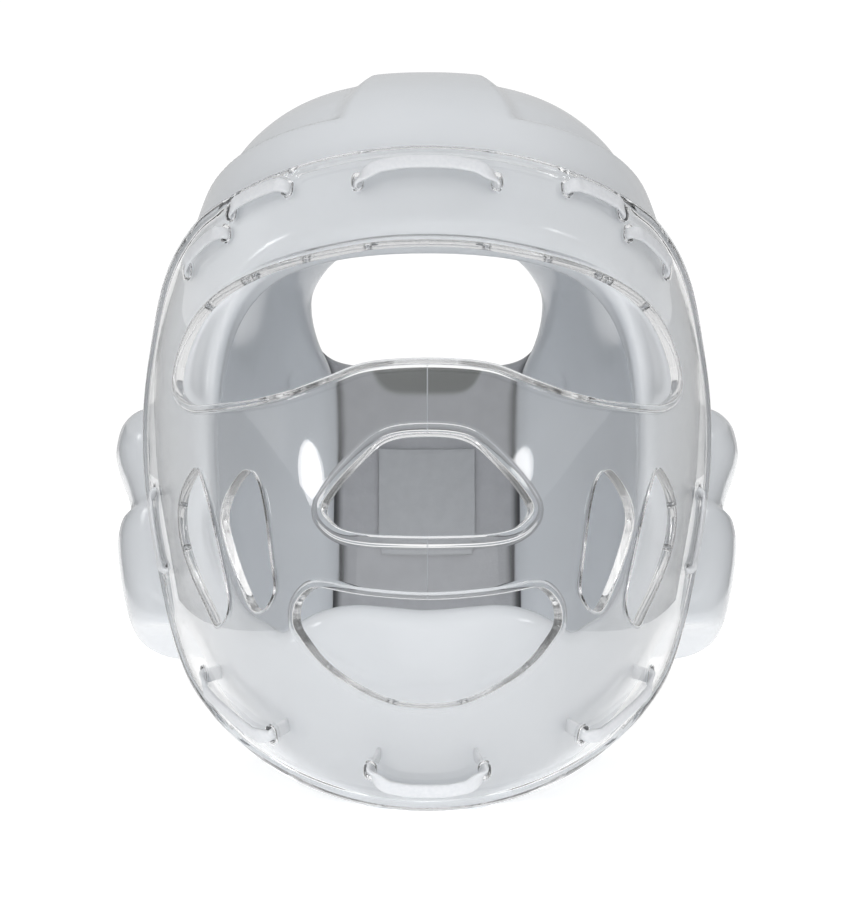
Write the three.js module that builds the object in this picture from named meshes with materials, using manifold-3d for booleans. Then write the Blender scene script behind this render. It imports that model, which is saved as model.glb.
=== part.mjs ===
import * as THREE from 'three';
import { mergeVertices } from 'three/addons/utils/BufferGeometryUtils.js';
import Module from 'manifold-3d';

const wasm = await Module();
wasm.setup();

// All sizes are in millimetres. In the head frame z is 0 at the eyes, y is 0 at the ears,
// the face looks along -y and x runs across the head.

// Resting pose: the headgear leans back onto its chin and nape
const REST_TILT_DEG = 17.1;
const REST_DEPTH = 115;
const PIECE_GAP = 0.3;

// Foam shell: sections from the crown to below the chin
const FOAM_COLUMNS = { z: 0, halfWidth: 1, front: 2, back: 3 };
const FOAM_SECTIONS = [
  [109, 9, 10.5, 12],
  [108.4, 24, 29, 32],
  [107, 36, 43.5, 47],
  [103, 49.2, 61.5, 64],
  [97, 59.3, 77, 77],
  [89, 67.2, 89.5, 87.2],
  [80, 73.2, 99.5, 95.2],
  [69, 78, 107, 101.4],
  [56, 81.8, 112, 106.6],
  [42, 85, 115.4, 110],
  [26, 88.6, 117.6, 111.6],
  [8, 91.4, 118.5, 112],
  [-14, 91.6, 119, 110.8],
  [-36, 89.2, 119.2, 108],
  [-56, 86, 118.7, 104.6],
  [-72, 83.3, 117.6, 101],
  [-88, 80, 116, 97],
  [-104, 76, 113.8, 93],
  [-120, 69.5, 110.8, 89],
  [-140, 63.5, 104.3, 84],
  [-170, 55, 92, 77],
];
const SECTION_POWER = 2.3;
const OUTER_SEGMENTS = 64;
const INNER_SEGMENTS = 40;

// Foam shell: walls, forehead band and boss
const NO_INSET = { side: 0, front: 0, back: 0, crown: 0 };
const WALL_INSET = { side: 15, front: 19, back: 14, crown: 17 };
const BAND_INSET = { side: 3, front: 3.5, back: 3, crown: 3 };
const INSET_BASE = { z: 20, halfWidth: 92, depth: 118 };
const BAND_TOP_Z = 76;
const BOSS_BACK_Y = -18;
const BOSS_OUTLINE = [
  [24.7, 66],
  [24.7, 76],
  [18.5, 103],
  [15, 118],
];

// Foam shell: openings as half outlines of x and z, from the top centre to the bottom centre
const FACE_OUTLINE = [
  [0, 23],
  [38, 22],
  [52, 18],
  [61, 8],
  [65, -8],
  [65.5, -30],
  [64.5, -48],
  [62.8, -64],
  [59, -77],
  [54, -87],
  [43, -95.5],
  [37.5, -93],
  [31, -91],
  [22, -90.2],
  [12, -91.7],
  [0, -92.9],
];
const REAR_OUTLINE = [
  [0, 96],
  [19, 94.5],
  [34, 88],
  [42.5, 78],
  [44, 70],
  [41.5, 60],
  [36.5, 52],
  [35, 44],
  [35, -190],
  [0, -190],
];

// Foam shell: lower trim line between the nape and the chin, as y and z
const TRIM_LINE = [
  [58, -93],
  [41, -78],
  [33, -75],
  [-28, -75],
  [-38, -83],
  [-56, -106],
  [-72, -130],
];
const NAPE_PAD_Y = 70;
const CHIN_PAD_Y = -82;

// Foam shell: lower corners of the chin rise with the mask, as x and z
const CHIN_BACK_Y = -35;
const CHIN_SIDE_LINE = [
  [16, -175],
  [18, -149],
  [26, -144],
  [36, -137.5],
  [46, -129],
  [56, -118],
  [66, -103],
  [78, -80],
  [110, -60],
];

// Ear pads: two lobes with a waist, each row a rounded section
const EAR_COLUMNS = { z: 0, reach: 1, halfLength: 2 };
const EAR_SECTIONS = [
  [2.5, 96, 28],
  [0, 102, 32],
  [-7, 105.3, 35],
  [-18, 105, 36],
  [-27, 102.8, 36],
  [-34, 100.6, 36],
  [-41, 102.8, 36],
  [-50, 104.2, 36],
  [-61, 103.2, 36],
  [-71, 100.6, 35],
  [-80, 97.5, 34],
];
const EAR_ROOT = 9;
const EAR_POWER = 3;
const EAR_STEPS = 12;

// Face mask: rows from the top rim to the bottom rim
const MASK_COLUMNS = { z: 0, halfWidth: 1, depth: 2, rimY: 3, rimZ: 4 };
const MASK_SECTIONS = [
  [52.5, 100, 118.8, -76, 42],
  [40, 99.4, 122, -62, 28],
  [27, 98.5, 125.5, -52, 12],
  [8, 98, 131.5, -45, -4],
  [-14, 96.8, 138, -41, -20],
  [-36, 94.8, 144, -40, -36],
  [-60, 91.5, 148, -41, -54],
  [-82, 88, 148.5, -44, -72],
  [-104, 85, 144, -49, -87],
  [-124, 82.5, 134, -57, -101],
  [-139, 81.5, 120, -66, -112],
  [-151.5, 84, 104.5, -74, -121.5],
];
const MASK_WALL = 3;
const MASK_ROWS = 15;
const MASK_STEPS = 22;
const CUT_OUTSIDE = 5;
const CUT_INSIDE = 8;

// Face mask: openings across the front, as half widths x with a lower and an upper z
const EYE_STATIONS = [
  [0, -24.5, 17.2],
  [12.5, -24.7, 17.1],
  [21, -25.6, 16.7],
  [28, -27.8, 16.2],
  [36.5, -29.8, 15.7],
  [45, -30.6, 15.2],
  [56, -29.3, 14],
  [66, -26, 11.5],
  [73, -22.3, 7],
  [77.5, -17, 0],
  [79.5, -12.5, -7],
];
const NOSE_STATIONS = [
  [0, -80.7, -49.3],
  [11, -80.2, -50.3],
  [18, -79.2, -55],
  [24.5, -77, -61.5],
  [28.5, -73.6, -66.5],
  [30, -71, -69],
];
const MOUTH_STATIONS = [
  [0, -126.7, -98.7],
  [10, -125.5, -98],
  [20, -121, -96.2],
  [28, -115.3, -93.8],
  [33, -110, -92.6],
  [36.5, -105, -94.4],
  [38.2, -101.5, -97.5],
];

// Face mask: cheek vents, as heights z with an inner and an outer x
const OUTER_VENT_STATIONS = [
  [-45, 70.8, 72.6],
  [-49, 69.4, 76],
  [-56, 67.3, 77.2],
  [-66, 64.7, 75.4],
  [-78, 61.9, 71],
  [-87, 60, 67],
  [-91.5, 60, 65],
  [-93.8, 61.6, 63.6],
];
const INNER_VENT_STATIONS = [
  [-53, 53, 55.6],
  [-57, 50.6, 59.4],
  [-63, 49, 61.6],
  [-71, 47.6, 60.2],
  [-81, 46.3, 57],
  [-89, 45.2, 53.8],
  [-92.5, 46, 52.2],
  [-94.8, 48, 50.4],
];

// Ties: two holes each, as mask row v and side t, with the bow of the strap towards the rim
const TIE_WIDTH = 4.8;
const TIE_THICK = 1.8;
const TIE_CLEAR = 0.5;
const TIE_STEPS = 8;
const HOLE_HALF = { along: 1.7, across: 3 };
const TIES = [
  { name: 'tie_top', from: [0.082, -0.21], to: [0.082, 0.21], bow: [-0.034, 0] },
  { name: 'tie_brow', from: [0.062, 0.45], to: [0.062, 0.69], bow: [-0.03, 0.012] },
  { name: 'tie_temple', from: [0.095, 0.77], to: [0.15, 0.88], bow: [-0.018, 0.055] },
  { name: 'tie_side', from: [0.47, 0.93], to: [0.6, 0.93], bow: [0, 0.03] },
  { name: 'tie_jaw', from: [0.795, 0.855], to: [0.9, 0.59], bow: [0.026, 0.05] },
  { name: 'tie_chin', from: [0.938, -0.225], to: [0.938, 0.225], bow: [0.026, 0] },
];

// Rear flap and the label on its inner side
const FLAP_HALF_WIDTH = 50;
const FLAP_BOTTOM_Z = -80;
const FLAP_TOP_CENTRE_Z = 57.2;
const FLAP_TOP_CORNER_Z = 63;
const FLAP_CORNER_X = 41;
const FLAP_TOP_POWER = 10;
const FLAP_THICK = 4.5;
const FLAP_GAP = 0.9;
const LABEL = { halfWidth: 18.5, bottomZ: -16, topZ: 26, thick: 0.7 };

// Colours and surfaces
const FOAM_LOOK = { color: 0xe4e6ea, roughness: 0.28, metalness: 0 };
const MASK_LOOK = { color: 0xf1f4f6, roughness: 0.05, metalness: 0, transparent: true, opacity: 0.3 };
const TIE_LOOK = { color: 0xe8eaec, roughness: 0.6, metalness: 0 };
const FLAP_LOOK = { color: 0xaeb0b4, roughness: 0.8, metalness: 0 };
const LABEL_LOOK = { color: 0x93959a, roughness: 0.7, metalness: 0 };

function vec(x, y, z) {
  return new THREE.Vector3(x, y, z);
}

function plain(geometry) {
  const bare = new THREE.BufferGeometry();
  bare.setAttribute('position', geometry.getAttribute('position').clone());
  if (geometry.index) bare.setIndex(geometry.index.clone());
  return mergeVertices(bare, 1e-3);
}

function toSolid(geometry) {
  const bare = plain(geometry);
  return new wasm.Manifold(new wasm.Mesh({
    numProp: 3,
    vertProperties: new Float32Array(bare.getAttribute('position').array),
    triVerts: new Uint32Array(bare.index.array),
  }));
}

function toGeometry(solid) {
  const mesh = solid.getMesh();
  const geometry = new THREE.BufferGeometry();
  geometry.setAttribute('position', new THREE.BufferAttribute(new Float32Array(mesh.vertProperties), 3));
  geometry.setIndex(new THREE.BufferAttribute(new Uint32Array(mesh.triVerts), 1));
  geometry.computeVertexNormals();
  return geometry;
}

function fromPoints(points, index) {
  const geometry = new THREE.BufferGeometry();
  const flat = points.flatMap((point) => [point.x, point.y, point.z]);
  geometry.setAttribute('position', new THREE.Float32BufferAttribute(flat, 3));
  geometry.setIndex(index);
  geometry.computeVertexNormals();
  return geometry;
}

// Closed solid through rings of equal count, counter-clockwise from above, the highest ring first
function loft(rings) {
  const count = rings[0].length;
  const points = rings.flat();
  const index = [];
  for (let r = 0; r + 1 < rings.length; r += 1) {
    for (let k = 0; k < count; k += 1) {
      const next = (k + 1) % count;
      const a = r * count + k;
      const b = r * count + next;
      index.push(a, a + count, b, b, a + count, b + count);
    }
  }
  const middle = (ring) => ring.reduce((sum, p) => sum.add(p), vec(0, 0, 0)).divideScalar(count);
  const last = (rings.length - 1) * count;
  const top = points.push(middle(rings[0])) - 1;
  const bottom = points.push(middle(rings[rings.length - 1])) - 1;
  for (let k = 0; k < count; k += 1) {
    const next = (k + 1) % count;
    index.push(top, k, next, bottom, last + next, last + k);
  }
  return fromPoints(points, index);
}

// Closed slab over a grid of surface points with normals, between two offsets along the normals
function slab(sample, rows, steps, outside, inside) {
  const points = [];
  for (const offset of [outside, inside]) {
    for (let i = 0; i <= rows; i += 1) {
      for (let k = 0; k <= steps; k += 1) {
        const { point, normal } = sample(i / rows, k / steps);
        points.push(point.clone().addScaledVector(normal, offset));
      }
    }
  }
  const width = steps + 1;
  const half = (rows + 1) * width;
  const index = [];
  for (let i = 0; i < rows; i += 1) {
    for (let k = 0; k < steps; k += 1) {
      const a = i * width + k;
      const b = a + width;
      index.push(a, b, a + 1, a + 1, b, b + 1);
      index.push(half + a, half + a + 1, half + b, half + a + 1, half + b + 1, half + b);
    }
  }
  const border = [];
  for (let k = 0; k < steps; k += 1) border.push(k);
  for (let i = 0; i < rows; i += 1) border.push(i * width + steps);
  for (let k = steps; k > 0; k -= 1) border.push(rows * width + k);
  for (let i = rows; i > 0; i -= 1) border.push(i * width);
  border.forEach((a, n) => {
    const b = border[(n + 1) % border.length];
    index.push(a, b, half + a, b, half + b, half + a);
  });
  return fromPoints(points, index);
}

function power(value, exponent) {
  return Math.sign(value) * Math.abs(value) ** exponent;
}

function blend(low, high, part) {
  return low + (high - low) * part;
}

// Row of a table at a height z, between the two rows around it
function rowAt(table, columns, z) {
  let i = 0;
  while (i + 2 < table.length && z < table[i + 1][columns.z]) i += 1;
  const part = (table[i][columns.z] - z) / (table[i][columns.z] - table[i + 1][columns.z]);
  return table[i].map((value, n) => blend(value, table[i + 1][n], part));
}

// Half width, front and back of the foam at a height, drawn in by an inset
function foamSection(z, inset = NO_INSET) {
  const top = FOAM_SECTIONS[0][FOAM_COLUMNS.z] - INSET_BASE.z;
  const above = Math.max(z - INSET_BASE.z, 0);
  const row = rowAt(FOAM_SECTIONS, FOAM_COLUMNS, z + above * (top / (top - inset.crown) - 1));
  return {
    halfWidth: row[FOAM_COLUMNS.halfWidth] * (1 - inset.side / INSET_BASE.halfWidth),
    front: row[FOAM_COLUMNS.front] * (1 - inset.front / INSET_BASE.depth),
    back: row[FOAM_COLUMNS.back] * (1 - inset.back / INSET_BASE.depth),
  };
}

function foamRing(z, segments, inset) {
  const section = foamSection(z, inset);
  const ring = [];
  for (let k = 0; k < segments; k += 1) {
    const angle = (2 * Math.PI * k) / segments;
    const forward = Math.cos(angle);
    const depth = forward > 0 ? section.front : section.back;
    const x = section.halfWidth * power(Math.sin(angle), 2 / SECTION_POWER);
    ring.push(vec(x, -depth * power(forward, 2 / SECTION_POWER), z));
  }
  return ring;
}

function foamSolid(segments, inset, bottomZ) {
  const top = FOAM_SECTIONS[0][FOAM_COLUMNS.z] - INSET_BASE.z;
  const tableHeights = FOAM_SECTIONS.map((row) => row[FOAM_COLUMNS.z]).filter((z) => z >= bottomZ);
  const heights = tableHeights.map((z) => z - (Math.max(z - INSET_BASE.z, 0) * inset.crown) / top);
  return toSolid(loft(heights.map((z) => foamRing(z, segments, inset))));
}

// Straight solid along y over a shape of x and z
function extrudeAlongY(shape, fromY, toY) {
  const geometry = new THREE.ExtrudeGeometry(shape, { depth: toY - fromY, bevelEnabled: false });
  geometry.rotateX(Math.PI / 2);
  geometry.translate(0, toY, 0);
  return toSolid(geometry);
}

// Straight solid along y over a half outline of x and z, mirrored across the middle
function prismAlongY(halfOutline, fromY, toY) {
  const shape = new THREE.Shape();
  const mirrored = halfOutline.map(([x, z]) => [-x, z]).reverse();
  const outline = [...halfOutline, ...mirrored].filter(([x, z], n, all) => {
    const [px, pz] = all[(n + all.length - 1) % all.length];
    return Math.hypot(x - px, z - pz) > 1e-6;
  });
  outline.forEach(([x, z], n) => (n ? shape.lineTo(x, z) : shape.moveTo(x, z)));
  return extrudeAlongY(shape, fromY, toY);
}

// Everything below the lower trim line, across the whole width
function trimSolid() {
  const slope = Math.tan(THREE.MathUtils.degToRad(REST_TILT_DEG));
  const base = -REST_DEPTH / Math.cos(THREE.MathUtils.degToRad(REST_TILT_DEG));
  const rest = (y) => [y, base + slope * y];
  const line = [rest(170), rest(NAPE_PAD_Y), ...TRIM_LINE, rest(CHIN_PAD_Y), rest(-170)];
  const shape = new THREE.Shape();
  line.forEach(([y, z], n) => (n ? shape.lineTo(y, z) : shape.moveTo(y, z)));
  shape.lineTo(-170, -260);
  shape.lineTo(170, -260);
  shape.closePath();
  const geometry = new THREE.ExtrudeGeometry(shape, { depth: 300, bevelEnabled: false });
  geometry.applyMatrix4(new THREE.Matrix4().makeBasis(vec(0, 1, 0), vec(0, 0, 1), vec(1, 0, 0)));
  geometry.translate(-150, 0, 0);
  return toSolid(geometry);
}

function earPad(side) {
  const rings = EAR_SECTIONS.map((row) => {
    const z = row[EAR_COLUMNS.z];
    const root = foamSection(z).halfWidth - EAR_ROOT;
    const ring = [];
    for (let k = 0; k <= EAR_STEPS; k += 1) {
      const angle = Math.PI * (k / EAR_STEPS - 0.5);
      const out = power(Math.cos(angle), 2 / EAR_POWER);
      const along = power(Math.sin(angle), 2 / EAR_POWER);
      const x = root + (row[EAR_COLUMNS.reach] - root) * out;
      ring.push(vec(side * x, row[EAR_COLUMNS.halfLength] * along, z));
    }
    return side > 0 ? ring : ring.reverse();
  });
  return toSolid(loft(rings));
}

// Lower corner beside the chin, from the chin's flat foot out to the jaw
function chinCorner(side) {
  const shape = new THREE.Shape();
  CHIN_SIDE_LINE.forEach(([x, z], n) => (n ? shape.lineTo(side * x, z) : shape.moveTo(side * x, z)));
  shape.lineTo(side * 110, -175);
  shape.closePath();
  return extrudeAlongY(shape, -170, CHIN_BACK_Y);
}

function foamShell() {
  const full = foamSolid(OUTER_SEGMENTS, NO_INSET, -170);
  const low = foamSolid(OUTER_SEGMENTS, BAND_INSET, INSET_BASE.z);
  const band = new THREE.BoxGeometry(400, 400, 400);
  band.translate(0, 0, BAND_TOP_Z - 200);
  const boss = prismAlongY([[0, 66], ...BOSS_OUTLINE, [0, 118]], -170, BOSS_BACK_Y);
  const raised = full.intersect(toSolid(band).add(boss));
  const hollow = foamSolid(INNER_SEGMENTS, WALL_INSET, -170);
  return raised.add(low)
    .add(earPad(1))
    .add(earPad(-1))
    .subtract(hollow)
    .subtract(prismAlongY(FACE_OUTLINE, -170, -20))
    .subtract(prismAlongY(REAR_OUTLINE, 20, 170))
    .subtract(chinCorner(1))
    .subtract(chinCorner(-1))
    .subtract(trimSolid());
}

// Mask section at a row from 0 at the top rim to 1 at the bottom rim, smooth between table rows
function maskSection(v) {
  const last = MASK_SECTIONS.length - 1;
  const place = Math.min(Math.max(v, 0), 1) * last;
  const i = Math.min(Math.floor(place), last - 1);
  const part = place - i;
  const near = [Math.max(i - 1, 0), i, i + 1, Math.min(i + 2, last)].map((n) => MASK_SECTIONS[n]);
  return MASK_SECTIONS[0].map((_, n) => {
    const [a, b, c, d] = near.map((row) => row[n]);
    const curve = (3 * (b - c) + d - a) * part + 2 * a - 5 * b + 4 * c - d;
    return b + 0.5 * part * (c - a + part * curve);
  });
}

// Point of the mask's outer face at row v and side t, from -1 at one side rim to 1 at the other
function maskPoint(v, t) {
  const row = maskSection(v);
  const depth = row[MASK_COLUMNS.depth];
  const angle = t * Math.acos(-row[MASK_COLUMNS.rimY] / depth);
  const z = blend(row[MASK_COLUMNS.z], row[MASK_COLUMNS.rimZ], t * t);
  return vec(row[MASK_COLUMNS.halfWidth] * Math.sin(angle), -depth * Math.cos(angle), z);
}

function maskSample(v, t) {
  const step = 1e-3;
  const low = Math.max(v - step, 0);
  const high = Math.min(v + step, 1);
  const down = maskPoint(high, t).sub(maskPoint(low, t));
  const across = maskPoint(v, t + step).sub(maskPoint(v, t - step));
  return { point: maskPoint(v, t), normal: down.cross(across).normalize() };
}

// Row and side of the mask point that is seen from the front at x and z
function maskPlace(x, z) {
  let low = 0;
  let high = 1;
  let t = 0;
  for (let n = 0; n < 40; n += 1) {
    const v = (low + high) / 2;
    const row = maskSection(v);
    const reach = Math.acos(-row[MASK_COLUMNS.rimY] / row[MASK_COLUMNS.depth]);
    t = Math.asin(Math.min(Math.max(x / row[MASK_COLUMNS.halfWidth], -1), 1)) / reach;
    if (maskPoint(v, t).z > z) low = v;
    else high = v;
  }
  return [(low + high) / 2, t];
}

function stationAt(stations, part) {
  const place = part * (stations.length - 1);
  const i = Math.min(Math.floor(place), stations.length - 2);
  return stations[i].map((value, n) => blend(value, stations[i + 1][n], place - i));
}

// Cutter through the mask between a lower and an upper edge, across the middle of the front
function frontCutter(stations, rows) {
  const sample = (down, over) => {
    const side = over * 2 - 1;
    const [x, low, top] = stationAt(stations, Math.abs(side));
    return maskSample(...maskPlace(Math.sign(side) * x, blend(top, low, down)));
  };
  return toSolid(slab(sample, rows, 2 * (stations.length - 1), CUT_OUTSIDE, -CUT_INSIDE));
}

// Cutter through one cheek of the mask between an inner and an outer edge
function cheekCutter(stations, side) {
  const sample = (down, over) => {
    const [z, near, far] = stationAt(stations, down);
    const x = side > 0 ? blend(near, far, over) : -blend(far, near, over);
    return maskSample(...maskPlace(x, z));
  };
  return toSolid(slab(sample, stations.length - 1, 2, CUT_OUTSIDE, -CUT_INSIDE));
}

function mirroredTies() {
  return TIES.flatMap((tie) => {
    if (tie.from[1] < 0) return [tie];
    const flip = ([v, t]) => [v, -t];
    return [
      { ...tie, name: `${tie.name}_left`, from: flip(tie.to), to: flip(tie.from), bow: flip(tie.bow) },
      { ...tie, name: `${tie.name}_right` },
    ];
  });
}

// Surface frame at one hole of a tie: along the strap, across it, and out of the mask
function holeFrame(tie, end) {
  const [v, t] = end ? tie.to : tie.from;
  const { point, normal } = maskSample(v, t);
  const along = maskPoint(...tie.to).sub(maskPoint(...tie.from));
  along.addScaledVector(normal, -along.dot(normal)).normalize();
  return { point, normal, along, across: normal.clone().cross(along) };
}

function holeCutter(tie, end) {
  const { point, normal, along, across } = holeFrame(tie, end);
  const rings = [CUT_OUTSIDE, -CUT_INSIDE].map((offset) => {
    const ring = [];
    for (let k = 0; k < 6; k += 1) {
      const angle = (Math.PI * (2 * k + 1)) / 6;
      ring.push(point.clone()
        .addScaledVector(normal, offset)
        .addScaledVector(along, HOLE_HALF.along * power(Math.cos(angle), 0.3))
        .addScaledVector(across, HOLE_HALF.across * power(Math.sin(angle), 0.3)));
    }
    return ring;
  });
  return toSolid(loft(rings));
}

function faceMask() {
  const sample = (down, over) => maskSample(down, over * 2 - 1);
  const sheet = toSolid(slab(sample, MASK_ROWS, MASK_STEPS, 0, -MASK_WALL));
  const cutters = [
    frontCutter(EYE_STATIONS, 4),
    frontCutter(NOSE_STATIONS, 3),
    frontCutter(MOUTH_STATIONS, 3),
  ];
  for (const side of [-1, 1]) {
    cutters.push(cheekCutter(OUTER_VENT_STATIONS, side));
    cutters.push(cheekCutter(INNER_VENT_STATIONS, side));
  }
  for (const tie of mirroredTies()) cutters.push(holeCutter(tie, 0), holeCutter(tie, 1));
  return cutters.reduce((mask, cutter) => mask.subtract(cutter), sheet);
}

// Depth from the mask's outer face down to the foam along a hole
function depthToFoam(point, normal) {
  const inside = (p) => {
    const section = foamSection(p.z);
    const wide = Math.abs(p.x / section.halfWidth) ** SECTION_POWER;
    return wide + Math.abs(p.y / section.front) ** SECTION_POWER < 1;
  };
  let depth = 0;
  while (depth < 25 && !inside(point.clone().addScaledVector(normal, -depth))) depth += 0.05;
  return depth;
}

// Flat strap that lies on the mask between two holes and turns down through both
function tieStrap(tie) {
  const stations = [];
  const lie = PIECE_GAP + TIE_THICK / 2;
  const start = holeFrame(tie, 0);
  const finish = holeFrame(tie, 1);
  const leg = ({ point, normal, across, along }) => {
    const corners = [[1, 1], [1, -1], [-1, 1], [-1, -1]].map(([w, h]) => point.clone()
      .addScaledVector(across, (w * TIE_WIDTH) / 2)
      .addScaledVector(along, (h * TIE_THICK) / 2));
    return Math.min(...corners.map((corner) => depthToFoam(corner, normal))) - TIE_CLEAR;
  };
  const at = (frame, height, up) => ({
    point: frame.point.clone().addScaledVector(frame.normal, height),
    across: frame.across,
    up,
  });
  const slant = (frame, sign) => frame.normal.clone().addScaledVector(frame.along, sign).normalize();
  stations.push(at(start, -leg(start), start.along.clone().negate()));
  stations.push(at(start, -0.2, start.along.clone().negate()));
  stations.push(at(start, lie - 0.25, slant(start, -1)));
  for (let k = 1; k < TIE_STEPS; k += 1) {
    const part = k / TIE_STEPS;
    const bow = 1 - Math.abs(2 * part - 1) ** 4;
    const place = [0, 1].map((n) => blend(tie.from[n], tie.to[n], part) + tie.bow[n] * bow);
    const { point, normal } = maskSample(...place);
    stations.push({ point: point.addScaledVector(normal, lie), up: normal });
  }
  stations.push(at(finish, lie - 0.25, slant(finish, 1)));
  stations.push(at(finish, -0.2, finish.along.clone()));
  stations.push(at(finish, -leg(finish), finish.along.clone()));
  const half = { wide: TIE_WIDTH / 2, thick: TIE_THICK / 2 };
  const corners = [[1, 1], [1, -1], [-1, -1], [-1, 1]].map(([w, h]) => [w * half.wide, h * half.thick]);
  const rings = stations.map((station, n) => {
    let { across } = station;
    if (!across) {
      const run = stations[n + 1].point.clone().sub(stations[n - 1].point);
      across = station.up.clone().cross(run).normalize();
    }
    return corners.map(([w, h]) => station.point.clone()
      .addScaledVector(across, w)
      .addScaledVector(station.up, h));
  });
  return loft(rings);
}

// Point of the foam's outer face at the back of the head, seen from behind at x and z
function backSample(x, z) {
  const at = (px, pz) => {
    const section = foamSection(pz);
    const side = Math.abs(px / section.halfWidth) ** SECTION_POWER;
    return vec(px, section.back * (1 - side) ** (1 / SECTION_POWER), pz);
  };
  const up = at(x, z + 0.5).sub(at(x, z - 0.5));
  const over = at(x + 0.5, z).sub(at(x - 0.5, z));
  return { point: at(x, z), normal: up.cross(over).normalize() };
}

function backFlap() {
  const sample = (up, over) => {
    const x = blend(-FLAP_HALF_WIDTH, FLAP_HALF_WIDTH, over);
    const rise = Math.min(Math.abs(x) / FLAP_CORNER_X, 1) ** FLAP_TOP_POWER;
    const top = blend(FLAP_TOP_CENTRE_Z, FLAP_TOP_CORNER_Z, rise);
    return backSample(x, blend(FLAP_BOTTOM_Z, top, up));
  };
  return slab(sample, 9, 14, FLAP_GAP + FLAP_THICK, FLAP_GAP);
}

function innerLabel() {
  const sample = (up, over) => {
    const x = blend(-LABEL.halfWidth, LABEL.halfWidth, over);
    return backSample(x, blend(LABEL.bottomZ, LABEL.topZ, up));
  };
  return slab(sample, 4, 6, 0, -LABEL.thick);
}

const headgear = new THREE.Group();
headgear.name = 'headgear';

function place(name, geometry, look) {
  const mesh = new THREE.Mesh(geometry, new THREE.MeshStandardMaterial(look));
  mesh.name = name;
  headgear.add(mesh);
}

place('foam_shell', toGeometry(foamShell()), FOAM_LOOK);
place('face_mask', toGeometry(faceMask()), MASK_LOOK);
for (const tie of mirroredTies()) place(tie.name, tieStrap(tie), TIE_LOOK);
place('back_flap', backFlap(), FLAP_LOOK);
place('inner_label', innerLabel(), LABEL_LOOK);

headgear.rotation.x = -THREE.MathUtils.degToRad(REST_TILT_DEG);
headgear.updateMatrixWorld(true);
const extent = new THREE.Box3().setFromObject(headgear, true);
const middle = extent.getCenter(vec(0, 0, 0));
headgear.position.set(-middle.x, -middle.y, -extent.min.z);

const group = new THREE.Group();
group.name = 'karate_headgear';
group.add(headgear);
group.updateMatrixWorld(true);

export default group;
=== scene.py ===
"""Looks of a karate headgear with a clear face mask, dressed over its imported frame."""
import logging
import math
from dataclasses import dataclass, field
from enum import Enum
from typing import Any, Callable, Iterable, Sequence

import bmesh
import bpy
import numpy as np
from bmesh.types import BMesh
from mathutils import Matrix, Vector
from mathutils.geometry import delaunay_2d_cdt
from mathutils.kdtree import KDTree


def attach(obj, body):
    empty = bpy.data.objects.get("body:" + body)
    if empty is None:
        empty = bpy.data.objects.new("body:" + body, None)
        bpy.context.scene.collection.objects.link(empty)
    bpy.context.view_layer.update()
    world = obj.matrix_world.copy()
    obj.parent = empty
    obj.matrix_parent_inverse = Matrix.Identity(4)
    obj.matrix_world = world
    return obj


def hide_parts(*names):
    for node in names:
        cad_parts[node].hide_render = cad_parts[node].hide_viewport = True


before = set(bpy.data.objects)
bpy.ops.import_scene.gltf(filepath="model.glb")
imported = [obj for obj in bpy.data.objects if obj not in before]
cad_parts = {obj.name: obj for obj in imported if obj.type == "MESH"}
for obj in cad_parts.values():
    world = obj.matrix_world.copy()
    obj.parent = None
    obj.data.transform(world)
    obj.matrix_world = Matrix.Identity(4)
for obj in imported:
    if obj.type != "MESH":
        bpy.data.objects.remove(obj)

log = logging.getLogger("headgear")
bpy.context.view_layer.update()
MM = 0.001
TINY = 1e-12
WELD = 1e-6
Points = np.ndarray
Colour = tuple[float, float, float]
Rows = Sequence[Sequence[float]]
WHITE = (1.0, 1.0, 1.0, 1.0)
BLACK = (0.0, 0.0, 0.0, 1.0)
USUAL = (0.3, 0.7)


class Slot(Enum):
    """Names of the material slots."""

    FOAM = "foam"
    MASK = "mask"
    TIE = "tie"
    FLAP = "flap"
    LABEL = "label"


class Side(Enum):
    """The two sides of the head, by the sign of x."""

    LEFT = -1
    RIGHT = 1


@dataclass(frozen=True)
class RestPose:
    """How the headgear leans back on its chin and nape.

    The head frame is in millimetres, with z 0 at the eyes, y 0 at the ears and the face along -y.
    """

    tilt_deg: float = 17.1
    shift_y: float = 22.1
    shift_z: float = 115.0

    def turn(self) -> tuple[float, float]:
        """Cosine and sine of the tilt."""
        angle = math.radians(self.tilt_deg)
        return math.cos(angle), math.sin(angle)

    def to_floor(self, points: Points) -> Points:
        """Places head points on the floor.

        Args:
            points: Rows of x, y and z in the head frame, in millimetres.

        Returns:
            Rows of x, y and z in the frame of the part, in metres.
        """
        cos, sin = self.turn()
        x, y, z = points.T
        back, up = y * cos + z * sin + self.shift_y, z * cos - y * sin + self.shift_z
        return np.column_stack((x, back, up)) * MM

    def to_head(self, points: Points) -> Points:
        """Takes points on the floor back to the head.

        Args:
            points: Rows of x, y and z in the frame of the part, in metres.

        Returns:
            Rows of x, y and z in the head frame, in millimetres.
        """
        cos, sin = self.turn()
        x, y, z = points.T / MM
        y, z = y - self.shift_y, z - self.shift_z
        return np.column_stack((x, y * cos - z * sin, z * cos + y * sin))


REST = RestPose()


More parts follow.
